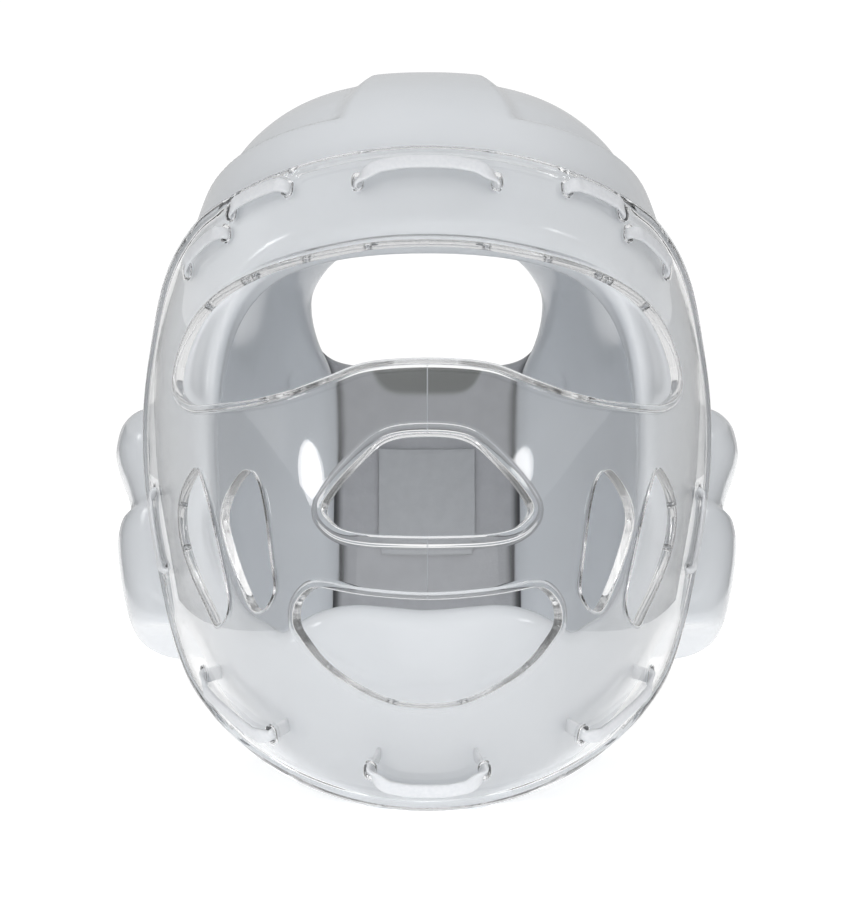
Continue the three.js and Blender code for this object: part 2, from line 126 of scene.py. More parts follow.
class Curve:
    """Smooth curve without overshoot through the rows of a short table."""

    def __init__(self, keys: Sequence[float], values: Sequence[float]) -> None:
        """Sets the slope at each row.

        Args:
            keys: Where the rows are, in any order.
            values: The value at each row.
        """
        order = np.argsort(keys)
        self.keys = np.asarray(keys, float)[order]
        self.values = np.asarray(values, float)[order]
        step = np.diff(self.keys)
        rise = np.diff(self.values) / step
        slope = np.concatenate(([rise[0]], np.zeros(len(rise) - 1), [rise[-1]]))
        same = rise[:-1] * rise[1:] > 0
        before, after = 2 * step[1:] + step[:-1], step[1:] + 2 * step[:-1]
        with np.errstate(divide="ignore", invalid="ignore"):
            mean = (before + after) / (before / rise[:-1] + after / rise[1:])
        slope[1:-1] = np.where(same, mean, 0.0)
        self.step, self.slope = step, slope

    def __call__(self, at: Points) -> Points:
        """Reads the curve.

        Args:
            at: Keys, which may lie beyond the ends.

        Returns:
            The value at each key, held level beyond both ends.
        """
        at = np.clip(at, self.keys[0], self.keys[-1])
        i = np.clip(np.searchsorted(self.keys, at) - 1, 0, len(self.step) - 1)
        step = self.step[i]
        part = (at - self.keys[i]) / step
        square, cube = part**2, part**3
        return (
            (2 * cube - 3 * square + 1) * self.values[i]
            + (cube - 2 * square + part) * step * self.slope[i]
            + (3 * square - 2 * cube) * self.values[i + 1]
            + (cube - square) * step * self.slope[i + 1]
        )


class Spline:
    """Even curve through rows of numbers, with a steady bend across each row."""

    def __init__(self, rows: Rows, closed: bool = False) -> None:
        """Works out the bend at each row.

        Args:
            rows: The rows the curve passes through, evenly spaced along it.
            closed: Whether the last row runs on into the first.
        """
        self.rows = np.asarray(rows, float)
        self.closed = closed
        count = len(self.rows)
        system = np.zeros((count, count))
        pull = np.zeros_like(self.rows)
        for i in range(count):
            if not closed and i in (0, count - 1):
                system[i, i] = 1.0
                continue
            before, after = (i - 1) % count, (i + 1) % count
            system[i, before] += 1.0
            system[i, i] += 4.0
            system[i, after] += 1.0
            pull[i] = 6 * (self.rows[before] - 2 * self.rows[i] + self.rows[after])
        self.bend = np.linalg.solve(system, pull)

    def __call__(self, part: Points) -> Points:
        """Reads the curve.

        Args:
            part: Parts of the whole curve, from 0 to 1.

        Returns:
            One row for each part.
        """
        count = len(self.rows)
        spans = count if self.closed else count - 1
        place = np.clip(part, 0.0, 1.0) * spans
        i = np.minimum(place.astype(int), spans - 1)
        near, far = i, (i + 1) % count
        b = (place - i)[:, None]
        a = 1.0 - b
        return (
            a * self.rows[near]
            + b * self.rows[far]
            + ((a**3 - a) * self.bend[near] + (b**3 - b) * self.bend[far]) / 6
        )


class OutlineField:
    """Distance to a closed flat outline in millimetres, negative inside, kept on a fine grid."""

    def __init__(self, outline: Rows, mirrored: bool = False, rounds: int = 2, margin: float = 45.0) -> None:
        """Rounds the outline's corners and measures the grid.

        Args:
            outline: Corners as pairs; a mirrored one runs from the top centre to the bottom centre.
            mirrored: Whether the other half follows by mirroring the first column.
            rounds: How often each corner is cut.
            margin: How far the grid reaches past the outline.
        """
        corners = [tuple(row) for row in outline]
        if mirrored:
            corners += [(-x, z) for x, z in reversed(corners) if x > 0]
        loop = np.asarray(corners, float)
        for _ in range(rounds):
            after = np.roll(loop, -1, axis=0)
            cuts = (loop * 0.75 + after * 0.25, loop * 0.25 + after * 0.75)
            loop = np.stack(cuts, axis=1).reshape(-1, 2)
        self.low = np.floor(loop.min(axis=0) - margin)
        size = np.ceil(loop.max(axis=0) + margin - self.low).astype(int) + 1
        lines = (np.arange(count) + start for count, start in zip(size, self.low))
        u, v = np.meshgrid(*lines, indexing="ij")
        nearest = np.full(u.shape, 1e9)
        inside = np.zeros(u.shape, bool)
        for (ax, ay), (bx, by) in zip(loop, np.roll(loop, -1, axis=0)):
            dx, dy = bx - ax, by - ay
            along = ((u - ax) * dx + (v - ay) * dy) / max(dx * dx + dy * dy, TINY)
            along = np.clip(along, 0.0, 1.0)
            nearest = np.minimum(nearest, (u - ax - along * dx) ** 2 + (v - ay - along * dy) ** 2)
            if ay != by:
                inside ^= ((ay > v) != (by > v)) & (u < ax + (v - ay) * dx / dy)
        self.grid = np.sqrt(nearest) * np.where(inside, -1.0, 1.0)

    def __call__(self, u: Points, v: Points) -> Points:
        """Reads the grid.

        Args:
            u: First coordinate of each place.
            v: Second coordinate of each place.

        Returns:
            The distance at each place.
        """
        u = np.clip(u - self.low[0], 0.0, self.grid.shape[0] - 1.001)
        v = np.clip(v - self.low[1], 0.0, self.grid.shape[1] - 1.001)
        i, k = u.astype(int), v.astype(int)
        a, b = u - i, v - k
        near = self.grid[i, k] * (1 - a) + self.grid[i + 1, k] * a
        far = self.grid[i, k + 1] * (1 - a) + self.grid[i + 1, k + 1] * a
        return near * (1 - b) + far * b


def slope_of(measure: Callable[[Points], Points], points: Points, value: Points, step: float = 0.2) -> Points:
    """Slope of a measure at each point.

    Args:
        measure: Gives one number for each point.
        points: Where the slope is wanted.
        value: The measure at these points.
        step: How far each point is moved to feel the slope.

    Returns:
        One row of three slopes for each point.
    """
    return np.column_stack([(measure(points + step * axis) - value) / step for axis in np.eye(3)])


def as_distance(measure: Callable[[Points], Points], points: Points) -> Points:
    """Turns a measure that is 0 on a surface into a distance from it, in millimetres."""
    value = measure(points)
    return value / np.maximum(np.linalg.norm(slope_of(measure, points, value), axis=1), 1e-3)


def rounded_cut(body: Points, keep: Points, radius: float) -> Points:
    """Keeps what is inside both distances, with the edge between them rounded."""
    corner = np.hypot(np.maximum(body + radius, 0.0), np.maximum(keep + radius, 0.0))
    return np.minimum(np.maximum(body, keep), -radius) + corner


def rounded_join(first: Points, second: Points, radius: float) -> Points:
    """Joins two distances, with the crease between them filled in a round."""
    corner = np.hypot(np.maximum(radius - first, 0.0), np.maximum(radius - second, 0.0))
    return np.maximum(np.minimum(first, second), radius) - corner


def ease(low: float, high: float, value: Points) -> Points:
    """Rises from 0 at low to 1 at high without a kink."""
    part = np.clip((value - low) / (high - low), 0.0, 1.0)
    return part * part * (3 - 2 * part)


def run_along(line: Points) -> Points:
    """Length along a line up to each of its points."""
    return np.concatenate(([0.0], np.cumsum(np.linalg.norm(np.diff(line, axis=0), axis=1))))


def squared_off(part: Points, power: float) -> Points:
    """Sine or cosine pushed out from a circle towards a square."""
    return np.sign(part) * np.abs(part) ** power


def unit(rows: Points) -> Points:
    """Rows scaled to length 1."""
    return rows / np.maximum(np.linalg.norm(rows, axis=-1, keepdims=True), TINY)


def new_piece(
    name: str, bm: BMesh, material: bpy.types.Material, nodes: Iterable[str]
) -> bpy.types.Object:
    """Makes a finished piece that rides on the part and stands for its CAD nodes.

    Args:
        name: The piece's plain name.
        bm: Its mesh in metres, which is freed.
        material: Its finish.
        nodes: The CAD nodes that it replaces.

    Returns:
        The new object.
    """
    mesh = bpy.data.meshes.new(name)
    for face in bm.faces:
        face.smooth = True
    bm.to_mesh(mesh)
    bm.free()
    mesh.materials.append(material)
    piece = bpy.data.objects.new(name, mesh)
    bpy.context.scene.collection.objects.link(piece)
    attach(piece, "root")
    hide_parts(*nodes)
    log.info("%s: %d faces", name, len(mesh.polygons))
    return piece


def add_grid(bm: BMesh, across: int, along: int, shape: Callable[[Points, Points], Points]) -> list[Any]:
    """Lays a grid over a surface.

    Args:
        bm: The mesh that gets the grid.
        across: Cells in the first direction.
        along: Cells in the second direction.
        shape: Gives points in metres for the two parts, each from 0 to 1.

    Returns:
        The grid's vertices.
    """
    verts = bmesh.ops.create_grid(bm, x_segments=across, y_segments=along, size=0.5)["verts"]
    parts = np.array([(vert.co.x + 0.5, vert.co.y + 0.5) for vert in verts])
    for vert, place in zip(verts, shape(parts[:, 0], parts[:, 1])):
        vert.co = place
    return verts


@dataclass(frozen=True)
class Grain:
    """Cloudy pattern: its patches in a metre, its layers of detail and their weight."""

    scale: float
    detail: float = 2.0
    roughness: float = 0.5


@dataclass(frozen=True)
class Relief:
    """Fine relief of a face: how much of it shows, and its depth in metres."""

    strength: float
    depth: float


class Nodes:
    """Wiring of one material's nodes on Object coordinates."""

    def __init__(self, name: str) -> None:
        """Starts a material with its shader and coordinates.

        Args:
            name: The material's plain name.
        """
        self.material = bpy.data.materials.new(name)
        self.material.use_nodes = True
        self.tree = self.material.node_tree
        self.shader = self.tree.nodes["Principled BSDF"]
        self.place = self.tree.nodes.new("ShaderNodeTexCoord").outputs["Object"]

    def add(
        self, kind: str, out: str | int = 0, settings: dict[str, Any] | None = None, **inputs: Any
    ) -> Any:
        """Adds a node.

        Args:
            kind: The node's type.
            out: Which output is handed back.
            settings: The node's own options.
            inputs: Values or sockets for its inputs, by number as i0, or by name with underscores for spaces.

        Returns:
            The chosen output socket.
        """
        node = self.tree.nodes.new(kind)
        for key, value in (settings or {}).items():
            setattr(node, key, value)
        for key, value in inputs.items():
            numbered = key[0] == "i" and key[1:].isdigit()
            self.put(node.inputs[int(key[1:]) if numbered else key.replace("_", " ")], value)
        return node.outputs[out]

    def put(self, socket: Any, value: Any) -> None:
        """Sets a socket to a value, or links one to it.

        Args:
            socket: The input.
            value: Its value, or the output that feeds it.
        """
        if isinstance(value, bpy.types.NodeSocket):
            self.tree.links.new(value, socket)
        else:
            socket.default_value = value

    def set(self, **inputs: Any) -> None:
        """Sets or links sockets of the shader."""
        for key, value in inputs.items():
            self.put(self.shader.inputs[key.replace("_", " ")], value)

    def noise(self, grain: Grain) -> Any:
        """Cloudy pattern."""
        look = {"Scale": grain.scale, "Detail": grain.detail, "Roughness": grain.roughness}
        return self.add("ShaderNodeTexNoise", Vector=self.place, **look)

    def axis(self, name: str) -> Any:
        """One coordinate, named X, Y or Z."""
        return self.add("ShaderNodeSeparateXYZ", name, Vector=self.place)

    def attribute(self, name: str) -> Any:
        """A number that the mesh carries at each point."""
        return self.add("ShaderNodeAttribute", "Fac", settings={"attribute_name": name})

    def span(
        self, value: Any, low: float, high: float, start: float = USUAL[0], end: float = USUAL[1]
    ) -> Any:
        """Takes a pattern from its usual reach to another."""
        reach = {"From_Min": start, "From_Max": end, "To_Min": low, "To_Max": high}
        return self.add("ShaderNodeMapRange", Value=value, **reach)

    def maths(self, kind: str, first: Any, second: Any = 0.0) -> Any:
        """One step of arithmetic."""
        return self.add("ShaderNodeMath", settings={"operation": kind}, i0=first, i1=second)

    def tint(self, factor: Any, low: Colour, high: Colour) -> Any:
        """Colour between two by a pattern.

        Args:
            factor: The pattern.
            low: Colour where it is low.
            high: Colour where it is high.

        Returns:
            The colour's socket.
        """
        ramp = self.tree.nodes.new("ShaderNodeValToRGB")
        for stop, place, colour in zip(ramp.color_ramp.elements, USUAL, (low, high)):
            stop.position, stop.color = place, (*colour, 1)
        self.put(ramp.inputs["Fac"], factor)
        return ramp.outputs["Color"]

    def mix(self, factor: Any, first: Any, second: Any) -> Any:
        """Colour between two by a factor.

        Args:
            factor: From 0 for the first to 1 for the second.
            first: A colour or its socket.
            second: A colour or its socket.

        Returns:
            The colour's socket.
        """
        node = self.tree.nodes.new("ShaderNodeMix")
        node.data_type = "RGBA"
        for number, value in ((0, factor), (6, first), (7, second)):
            self.put(node.inputs[number], value)
        return node.outputs[2]

    def bump(self, height: Any, relief: Relief, under: Any = None) -> Any:
        """Relief, over another one if there is one.

        Args:
            height: The pattern.
            relief: How much of it shows and how deep it is.
            under: The normal of the relief below it.

        Returns:
            The normal's socket.
        """
        inputs: dict[str, Any] = {"Height": height, "Strength": relief.strength, "Distance": relief.depth}
        if under is not None:
            inputs["Normal"] = under
        return self.add("ShaderNodeBump", **inputs)


@dataclass(frozen=True)
class VinylSkin:
    """White skin of foam that was dipped in vinyl: smooth, glossy, with a faint orange peel."""

    light: Colour = (0.765, 0.79, 0.82)
    shade: Colour = (0.735, 0.762, 0.793)
    gloss: tuple[float, float] = (0.15, 0.20)
    cloud: Grain = Grain(26.0, 3.0)
    patches: Grain = Grain(30.0)
    peel: Grain = Grain(330.0)
    peel_relief: Relief = Relief(0.03, 0.0002)
    ripple: Grain = Grain(55.0, 1.0)
    ripple_relief: Relief = Relief(0.15, 0.0009)
    bend: float = 1.5
    coat: float = 0.25
    coat_roughness: float = 0.12

    def material(self) -> bpy.types.Material:
        """Builds the finish.

        Returns:
            The new material.
        """
        nodes = Nodes("dipped_vinyl")
        peel = nodes.bump(nodes.noise(self.peel), self.peel_relief)
        nodes.set(
            Base_Color=nodes.tint(nodes.noise(self.cloud), self.shade, self.light),
            Roughness=nodes.span(nodes.noise(self.patches), *self.gloss),
            Normal=nodes.bump(nodes.noise(self.ripple), self.ripple_relief, peel),
            IOR=self.bend,
            Coat_Weight=self.coat,
            Coat_Roughness=self.coat_roughness,
        )
        return nodes.material


@dataclass(frozen=True)
class ClearShell:
    """Clear moulded polycarbonate with a faint parting line and light handling marks."""

    colour: Colour = (0.995, 0.998, 1.0)
    bend: float = 1.585
    smoke: float = 9.0
    line_half: float = 1.0 / 3000.0
    line_relief: Relief = Relief(0.35, 0.00012)
    flow: Grain = Grain(14.0, 1.0)
    flow_relief: Relief = Relief(0.12, 0.0008)
    patches: Grain = Grain(30.0)
    gloss: tuple[float, float] = (0.02, 0.05)

    def material(self) -> bpy.types.Material:
        """Builds the finish.

        Returns:
            The new material.
        """
        nodes = Nodes("clear_polycarbonate")
        aside = nodes.maths("MULTIPLY", nodes.maths("ABSOLUTE", nodes.axis("X")), 1.0 / self.line_half)
        line = nodes.maths("SMOOTH_MAX", nodes.maths("SUBTRACT", 1.0, aside), 0.0)
        flow = nodes.bump(nodes.noise(self.flow), self.flow_relief)
        nodes.set(
            Base_Color=(*self.colour, 1.0),
            Roughness=nodes.span(nodes.noise(self.patches), *self.gloss),
            Normal=nodes.bump(line, self.line_relief, flow),
            IOR=self.bend,
            Transmission_Weight=1.0,
        )
        body = nodes.add("ShaderNodeVolumeAbsorption", "Volume", Color=BLACK, Density=self.smoke)
        nodes.put(nodes.tree.nodes["Material Output"].inputs["Volume"], body)
        return nodes.material


@dataclass(frozen=True)
class WovenElastic:
    """White elastic strap with fine ribs across it."""

    light: Colour = (0.80, 0.815, 0.84)
    shade: Colour = (0.74, 0.76, 0.79)
    ribs_per_metre: float = 900.0
    rib_height: float = 0.35
    patches: Grain = Grain(900.0, 3.0)
    fibre: Grain = Grain(2600.0, 3.0)
    relief: Relief = Relief(0.15, 0.0001)
    gloss: tuple[float, float] = (0.45, 0.65)
    sheen: float = 0.15

    def material(self) -> bpy.types.Material:
        """Builds the finish.

        Returns:
            The new material.
        """
        nodes = Nodes("woven_elastic")
        turn = self.ribs_per_metre * 2 * math.pi
        rib = nodes.maths("SINE", nodes.maths("MULTIPLY", nodes.attribute("along"), turn))
        fibre = nodes.noise(self.fibre)
        height = nodes.maths("ADD", nodes.maths("MULTIPLY", rib, self.rib_height), fibre)
        nodes.set(
            Base_Color=nodes.tint(nodes.noise(self.patches), self.shade, self.light),
            Roughness=nodes.span(fibre, *self.gloss),
            Normal=nodes.bump(height, self.relief),
            Sheen_Weight=self.sheen,
        )
        return nodes.material


@dataclass(frozen=True)
class BrushedLoop:
    """Grey looped cloth of the rear flap, with a darker band across the top of its inner side and painted
    shade in the gaps beside the foam.
    """

    light: Colour = (0.54, 0.545, 0.565)
    shade: Colour = (0.485, 0.49, 0.51)
    # Colour of the darker band across the top of the flap's inner side.
    top_band: Colour = (0.20, 0.208, 0.198)
    # Painted shade: colour of the shadow in the gap where the flap's inner side meets the foam's slot edges.
    crease: Colour = (0.09, 0.092, 0.095)
    patches: Grain = Grain(160.0, 5.0, 0.6)
    fuzz: Grain = Grain(1900.0, 4.0, 0.6)
    loops_per_metre: float = 850.0
    loop_height: float = 0.8
    relief: Relief = Relief(0.25, 0.0003)
    gloss: tuple[float, float] = (0.75, 0.95)
    sheen: float = 0.2

    def material(self) -> bpy.types.Material:
        """Builds the finish.

        Returns:
            The new material.
        """
        nodes = Nodes("brushed_loop_cloth")
        cloth = nodes.tint(nodes.noise(self.patches), self.shade, self.light)
        # Painted shade: the cloth darkens to the crease colour near the slot's edges.
        cloth = nodes.mix(nodes.attribute("crease"), cloth, (*self.crease, 1.0))
        scale = self.loops_per_metre
        loops = nodes.add("ShaderNodeTexVoronoi", "Distance", Vector=nodes.place, Scale=scale)
        fuzz = nodes.noise(self.fuzz)
        height = nodes.maths("ADD", nodes.maths("MULTIPLY", loops, self.loop_height), fuzz)
        nodes.set(
            Base_Color=nodes.mix(nodes.attribute("top_band"), cloth, (*self.top_band, 1.0)),
            Roughness=nodes.span(fuzz, *self.gloss),
            Normal=nodes.bump(height, self.relief),
            Sheen_Weight=self.sheen,
        )
        return nodes.material


@dataclass(frozen=True)
class SatinLabel:
    """Plain grey label cloth with a fine weave."""

    light: Colour = (0.57, 0.58, 0.595)
    shade: Colour = (0.535, 0.545, 0.56)
    threads_per_metre: float = 1400.0
    patches: Grain = Grain(240.0, 4.0)
    polish: Grain = Grain(700.0)
    relief: Relief = Relief(0.25, 0.00012)
    gloss: tuple[float, float] = (0.5, 0.65)
    sheen: float = 0.1

    def material(self) -> bpy.types.Material:
        """Builds the finish.

        Returns:
            The new material.
        """
        nodes = Nodes("satin_label")
        turn = self.threads_per_metre * 2 * math.pi
        warp, weft = (nodes.maths("SINE", nodes.maths("MULTIPLY", nodes.axis(name), turn)) for name in "XZ")
        nodes.set(
            Base_Color=nodes.tint(nodes.noise(self.patches), self.shade, self.light),
            Roughness=nodes.span(nodes.noise(self.polish), *self.gloss),
            Normal=nodes.bump(nodes.maths("MULTIPLY", warp, weft), self.relief),
            Sheen_Weight=self.sheen,
        )
        return nodes.material


@dataclass(frozen=True)
class Inset:
    """How far a form is drawn in at each side of the head, in millimetres."""

    side: float = 0.0
    front: float = 0.0
    back: float = 0.0
    crown: float = 0.0


@dataclass
class FoamShell:
    """Dipped foam helmet: its form as a distance, and the piece that is drawn over that form."""

    sections: Rows = (
        (109, 9, 10.5, 12), (108.4, 24, 29, 32), (107, 36, 43.5, 47), (103, 49.2, 61.5, 64),
        (97, 59.3, 77, 77), (89, 67.2, 89.5, 87.2), (80, 73.2, 99.5, 95.2), (69, 78, 107, 101.4),
        (56, 81.8, 112, 106.6), (42, 85, 115.4, 110), (26, 88.6, 117.6, 111.6), (8, 91.4, 118.5, 112),
        (-14, 91.6, 119, 110.8), (-36, 89.2, 119.2, 108), (-56, 86, 118.7, 104.6), (-72, 83.3, 117.6, 101),
        (-88, 80, 116, 97), (-104, 76, 113.8, 93), (-120, 69.5, 110.8, 89), (-140, 63.5, 104.3, 84),
        (-170, 55, 92, 77),
    )
    ear_sections: Rows = (
        (-1, 95.5, 27), (-3, 101.2, 31), (-8, 104.6, 34), (-14.5, 105.4, 36), (-20, 104.2, 36),
        (-25, 102.2, 36), (-30, 100.6, 36), (-35.5, 99.6, 36), (-39.5, 103, 36), (-45.5, 103.9, 36),
        (-51, 103.5, 36), (-57, 102.6, 36), (-68, 100.2, 35), (-80, 96, 34),
    )
    face_outline: Rows = (
        (0, 23), (38, 22), (52, 18), (61, 8), (65, -8), (65.5, -30), (64.5, -48), (62.8, -64), (59, -77),
        (54, -87), (47.5, -92), (43, -96), (40.5, -95), (37, -92.8), (31, -90.9), (22, -90.1), (12, -91.6),
        (0, -92.9),
    )
    rear_outline: Rows = (
        (0, 96), (19, 94.5), (34, 88), (42.5, 78), (44, 70), (41.5, 60), (36.5, 52), (35, 44), (35, -190),
        (0, -190),
    )
    boss_outline: Rows = ((0, 60), (26.6, 60), (26.6, 71), (22.5, 84), (17.5, 98), (15, 118), (0, 118))
    trim_line: Rows = ((58, -93), (41, -78), (33, -75), (-28, -75), (-38, -83), (-56, -106), (-72, -130))
    chin_side_line: Rows = (
        (16, -175), (18, -149), (26, -144), (36, -137.5), (46, -129), (56, -118), (66, -103), (78, -80),
        (110, -60), (110, -175),
    )
    section_power: float = 2.3
    ear_power: float = 3.0
    ear_root: float = 9.0
    ear_top: float = -0.8
    ear_round: float = 3.0
    wall: Inset = Inset(15, 19, 14, 17)
    full_side: float = 92.0
    full_depth: float = 118.0
    crown_start: float = 20.0
    crown_round: float = 6.0
    band_step: float = 3.3
    band_top: float = 69.5
    band_slope: tuple[float, float] = (-1.0, 2.6)
    boss_back: float = -18.0
    boss_slope: tuple[float, float] = (-1.0, 4.5)
    crease_z: float = -117.7
    crease_rise: float = 12.0
    crease_half: float = 30.5
    crease_depth: float = 0.9
    crease_width: float = 2.4
    crease_fade: tuple[float, float] = (46.0, 30.0)
    crease_back: float = -60.0
    dimple: tuple[float, float, float] = (50.0, 75.0, 41.0)
    dimple_depth: float = 2.6
    dimple_radius: float = 2.6
    groove: tuple[float, float, float] = (65.0, 55.0, 48.0)
    groove_depth: float = 1.6
    groove_radius: float = 2.2
    groove_half_height: float = 8.0
    face_back: float = -20.0
    rear_front: float = 20.0
    nape_foot: float = 70.0
    chin_foot: float = -82.0
    foot_step: float = 6.0
    trim_reach: tuple[float, float, float] = (-170.0, 150.0, -230.0)
    chin_back: float = -35.0
    edge_round: float = 6.5
    foot_round: float = 4.0
    crease_round: float = 2.6
    inner_round: float = 2.0
    voxel: float = 1.75
    passes: Sequence[tuple[int, int]] = ((4, 3), (3, 3), (2, 3))
    longest_step: float = 1.2
    least_slope: float = 0.05
    skin: VinylSkin = VinylSkin()

    def __post_init__(self) -> None:
        """Prepares the curves and outlines that the form is measured from."""
        heights, *columns = zip(*self.sections)
        self.width, self.front, self.back = (Curve(heights, [v * v for v in column]) for column in columns)
        ear_heights, reach, length = zip(*self.ear_sections)
        self.ear_reach, self.ear_length = Curve(ear_heights, reach), Curve(ear_heights, length)
        slope = math.tan(math.radians(REST.tilt_deg))
        base = -REST.shift_z / math.cos(math.radians(REST.tilt_deg))
        front, rear, under = self.trim_reach
        nape, chin = self.nape_foot, self.chin_foot
        feet = (rear, nape + self.foot_step, nape, chin, chin - self.foot_step, front)
        floor = [(y, base + slope * y) for y in feet]
        trim = [*floor[:3], *self.trim_line, *floor[3:], (front, under), (rear, under)]
        self.face_field = OutlineField(self.face_outline, mirrored=True)
        self.rear_field = OutlineField(self.rear_outline, mirrored=True)
        self.boss_field = OutlineField(self.boss_outline, mirrored=True, rounds=1)
        self.trim_field = OutlineField(trim)
        self.chin_field = OutlineField(self.chin_side_line)

    def half_width(self, z: Points) -> Points:
        """Half width of the shell at a height."""
        return np.sqrt(np.maximum(self.width(z), 1.0))

    def form(self, points: Points, inset: Inset) -> Points:
        """Distance to the closed head form.

        Args:
            points: Rows in the head frame.
            inset: How far the form is drawn in.

        Returns:
            One distance for each point, negative inside.
        """
        top, power = self.sections[0][0], self.section_power
        rise = top - self.crown_start

        def level(at: Points) -> Points:
            """Measures how far points are from the form, as a share of its size.

            Args:
                at: Rows in the head frame.

            Returns:
                One share for each point, 0 on the face.
            """
            x, y, z = at.T
            z = z + np.maximum(z - self.crown_start, 0.0) * (rise / (rise - inset.crown) - 1)
            width = self.half_width(z) * (1 - inset.side / self.full_side)
            front = np.sqrt(np.maximum(self.front(z), 1.0)) * (1 - inset.front / self.full_depth)
            back = np.sqrt(np.maximum(self.back(z), 1.0)) * (1 - inset.back / self.full_depth)
            depth = np.where(y < 0, front, back)
            return ((np.abs(x) / width) ** power + (np.abs(y) / depth) ** power) ** (1 / power) - 1

        return rounded_cut(as_distance(level, points), points[:, 2] - (top - inset.crown), self.crown_round)

    def ear(self, points: Points) -> Points:
        """Distance to the ear pads, each with two lobes.

        Args:
            points: Rows in the head frame.

        Returns:
            One distance for each point, negative inside.
        """

        def level(at: Points) -> Points:
            """Measures how far points are from the pads, as a share of their size.

            Args:
                at: Rows in the head frame.

            Returns:
                One share for each point, 0 on the face.
            """
            x, y, z = np.abs(at[:, 0]), at[:, 1], at[:, 2]
            root = self.half_width(z) - self.ear_root
            out = np.maximum(x - root, 0.0) / (self.ear_reach(z) - root)
            power = self.ear_power
            return (out**power + (np.abs(y) / self.ear_length(z)) ** power) ** (1 / power) - 1

        return rounded_cut(as_distance(level, points), points[:, 2] - self.ear_top, self.ear_round)

    def relief(self, points: Points) -> Points:
        """How far the outer face is drawn in, above the band beside the boss and along the chin crease.

        Args:
            points: Rows in the head frame.

        Returns:
            One depth for each point.
        """
        x, y, z = points.T
        boss = np.maximum(self.boss_field(x, z), y - self.boss_back)
        above, beside = ease(*self.band_slope, z - self.band_top), ease(*self.boss_slope, boss)
        arc = z - self.crease_z - self.crease_rise * (x / self.crease_half) ** 2
        crease = self.crease_depth * np.exp(-((arc / self.crease_width) ** 2))
        crease = crease * ease(*self.crease_fade, np.abs(x)) * (y < self.crease_back)
        return self.band_step * np.minimum(above, beside) + crease

    def marks(self, points: Points) -> Points:
        """Depth of the small moulded marks on the inner wall.

        Args:
            points: Rows in the head frame.

        Returns:
            One depth for each point.
        """
        both = np.column_stack((np.abs(points[:, 0]), points[:, 1:]))
        near = ((both - self.dimple) ** 2).sum(axis=1) / self.dimple_radius**2
        aside = both - self.groove
        reach = (aside[:, :2] ** 2).sum(axis=1) / self.groove_radius**2
        reach = reach + (aside[:, 2] / self.groove_half_height) ** 2
        return self.dimple_depth * np.exp(-near) + self.groove_depth * np.exp(-reach)

    def distance(self, points: Points) -> Points:
        """Distance to the foam.

        Args:
            points: Rows in the head frame.

        Returns:
            One distance for each point, negative inside.
        """
        x, y, z = points.T
        outer = self.form(points, Inset()) + self.relief(points)
        body = rounded_join(outer, self.ear(points), self.crease_round)
        shell = rounded_cut(body, -self.form(points, self.wall), self.inner_round)
        face = np.maximum(self.face_field(x, z), y - self.face_back)
        rear = np.maximum(self.rear_field(x, z), self.rear_front - y)
        chin = np.maximum(self.chin_field(np.abs(x), z), y - self.chin_back)
        for cut in (face, rear, chin):
            shell = rounded_cut(shell, -cut, self.edge_round)
        return rounded_cut(shell, -self.trim_field(y, z), self.foot_round) + self.marks(points)

    def settle(self, points: Points, rounds: int) -> Points:
        """Moves points onto the foam's face, a little at a time.

        Args:
            points: Rows in the head frame.
            rounds: How often they are moved.

        Returns:
            The moved rows.
        """
        for _ in range(rounds):
            value = self.distance(points)
            slope = slope_of(self.distance, points, value)
            steep = np.maximum((slope**2).sum(axis=1, keepdims=True), self.least_slope)
            step = value[:, None] * slope / steep
            length = np.maximum(np.linalg.norm(step, axis=1, keepdims=True), TINY)
            points = points - step * np.minimum(1.0, self.longest_step / length)
        return points

    def remeshed(self) -> BMesh:
        """Even mesh over a copy of the plain solid.

        Returns:
            The mesh, in metres.
        """
        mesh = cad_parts["foam_shell"].data.copy()
        bm = bmesh.new()
        bm.from_mesh(mesh)
        bmesh.ops.remove_doubles(bm, verts=bm.verts, dist=WELD)
        bm.to_mesh(mesh)
        bm.free()
        rough = bpy.data.objects.new("rough_foam", mesh)
        bpy.context.scene.collection.objects.link(rough)
        remesh = rough.modifiers.new("even", "REMESH")
        remesh.mode, remesh.voxel_size = "VOXEL", self.voxel * MM
        graph = bpy.context.evaluated_depsgraph_get()
        even = bpy.data.meshes.new_from_object(rough.evaluated_get(graph))
        bm = bmesh.new()
        bm.from_mesh(even)
        bpy.data.objects.remove(rough)
        bpy.data.meshes.remove(mesh)
        bpy.data.meshes.remove(even)
        return bm

    def build(self) -> bpy.types.Object:
        """Draws the foam over its form.

        Returns:
            The padded piece.
        """
        bm = self.remeshed()
        axes = {f"use_axis_{name}": True for name in "xyz"}
        for smoothing, rounds in self.passes:
            for _ in range(smoothing):
                bmesh.ops.smooth_vert(bm, verts=bm.verts, factor=0.5, **axes)
            points = REST.to_head(np.array([vert.co[:] for vert in bm.verts]))
            for vert, place in zip(bm.verts, REST.to_floor(self.settle(points, rounds))):
                vert.co = place
        bmesh.ops.recalc_face_normals(bm, faces=bm.faces)
        piece = new_piece("foam_padding", bm, self.skin.material(), ["foam_shell"])
        return piece


@dataclass(frozen=True)
class Edge:
    """Edge of the mask in millimetres: a bead with rounded corners that falls back to the sheet."""

    rise: float
    corner: float
    flat: float
    fall: float
    corner_parts: tuple[float, ...] = (0.04, 0.22, 0.55, 1.0)
    fall_parts: tuple[float, ...] = (0.3, 0.65)
    last_step: float = 0.8

    def rings(self) -> list[float]:
        """Depths in from the edge at which the sheet gets a row of points.

        Returns:
            Depths in millimetres, closest together where the profile bends most.
        """
        end = self.flat + self.fall
        depths = [self.corner * part for part in self.corner_parts]
        if self.rise > 0.0:
            depths += [(self.corner + self.flat) / 2, self.flat]
            depths += [self.flat + self.fall * part for part in self.fall_parts]
        return [*depths, end, end + self.last_step]


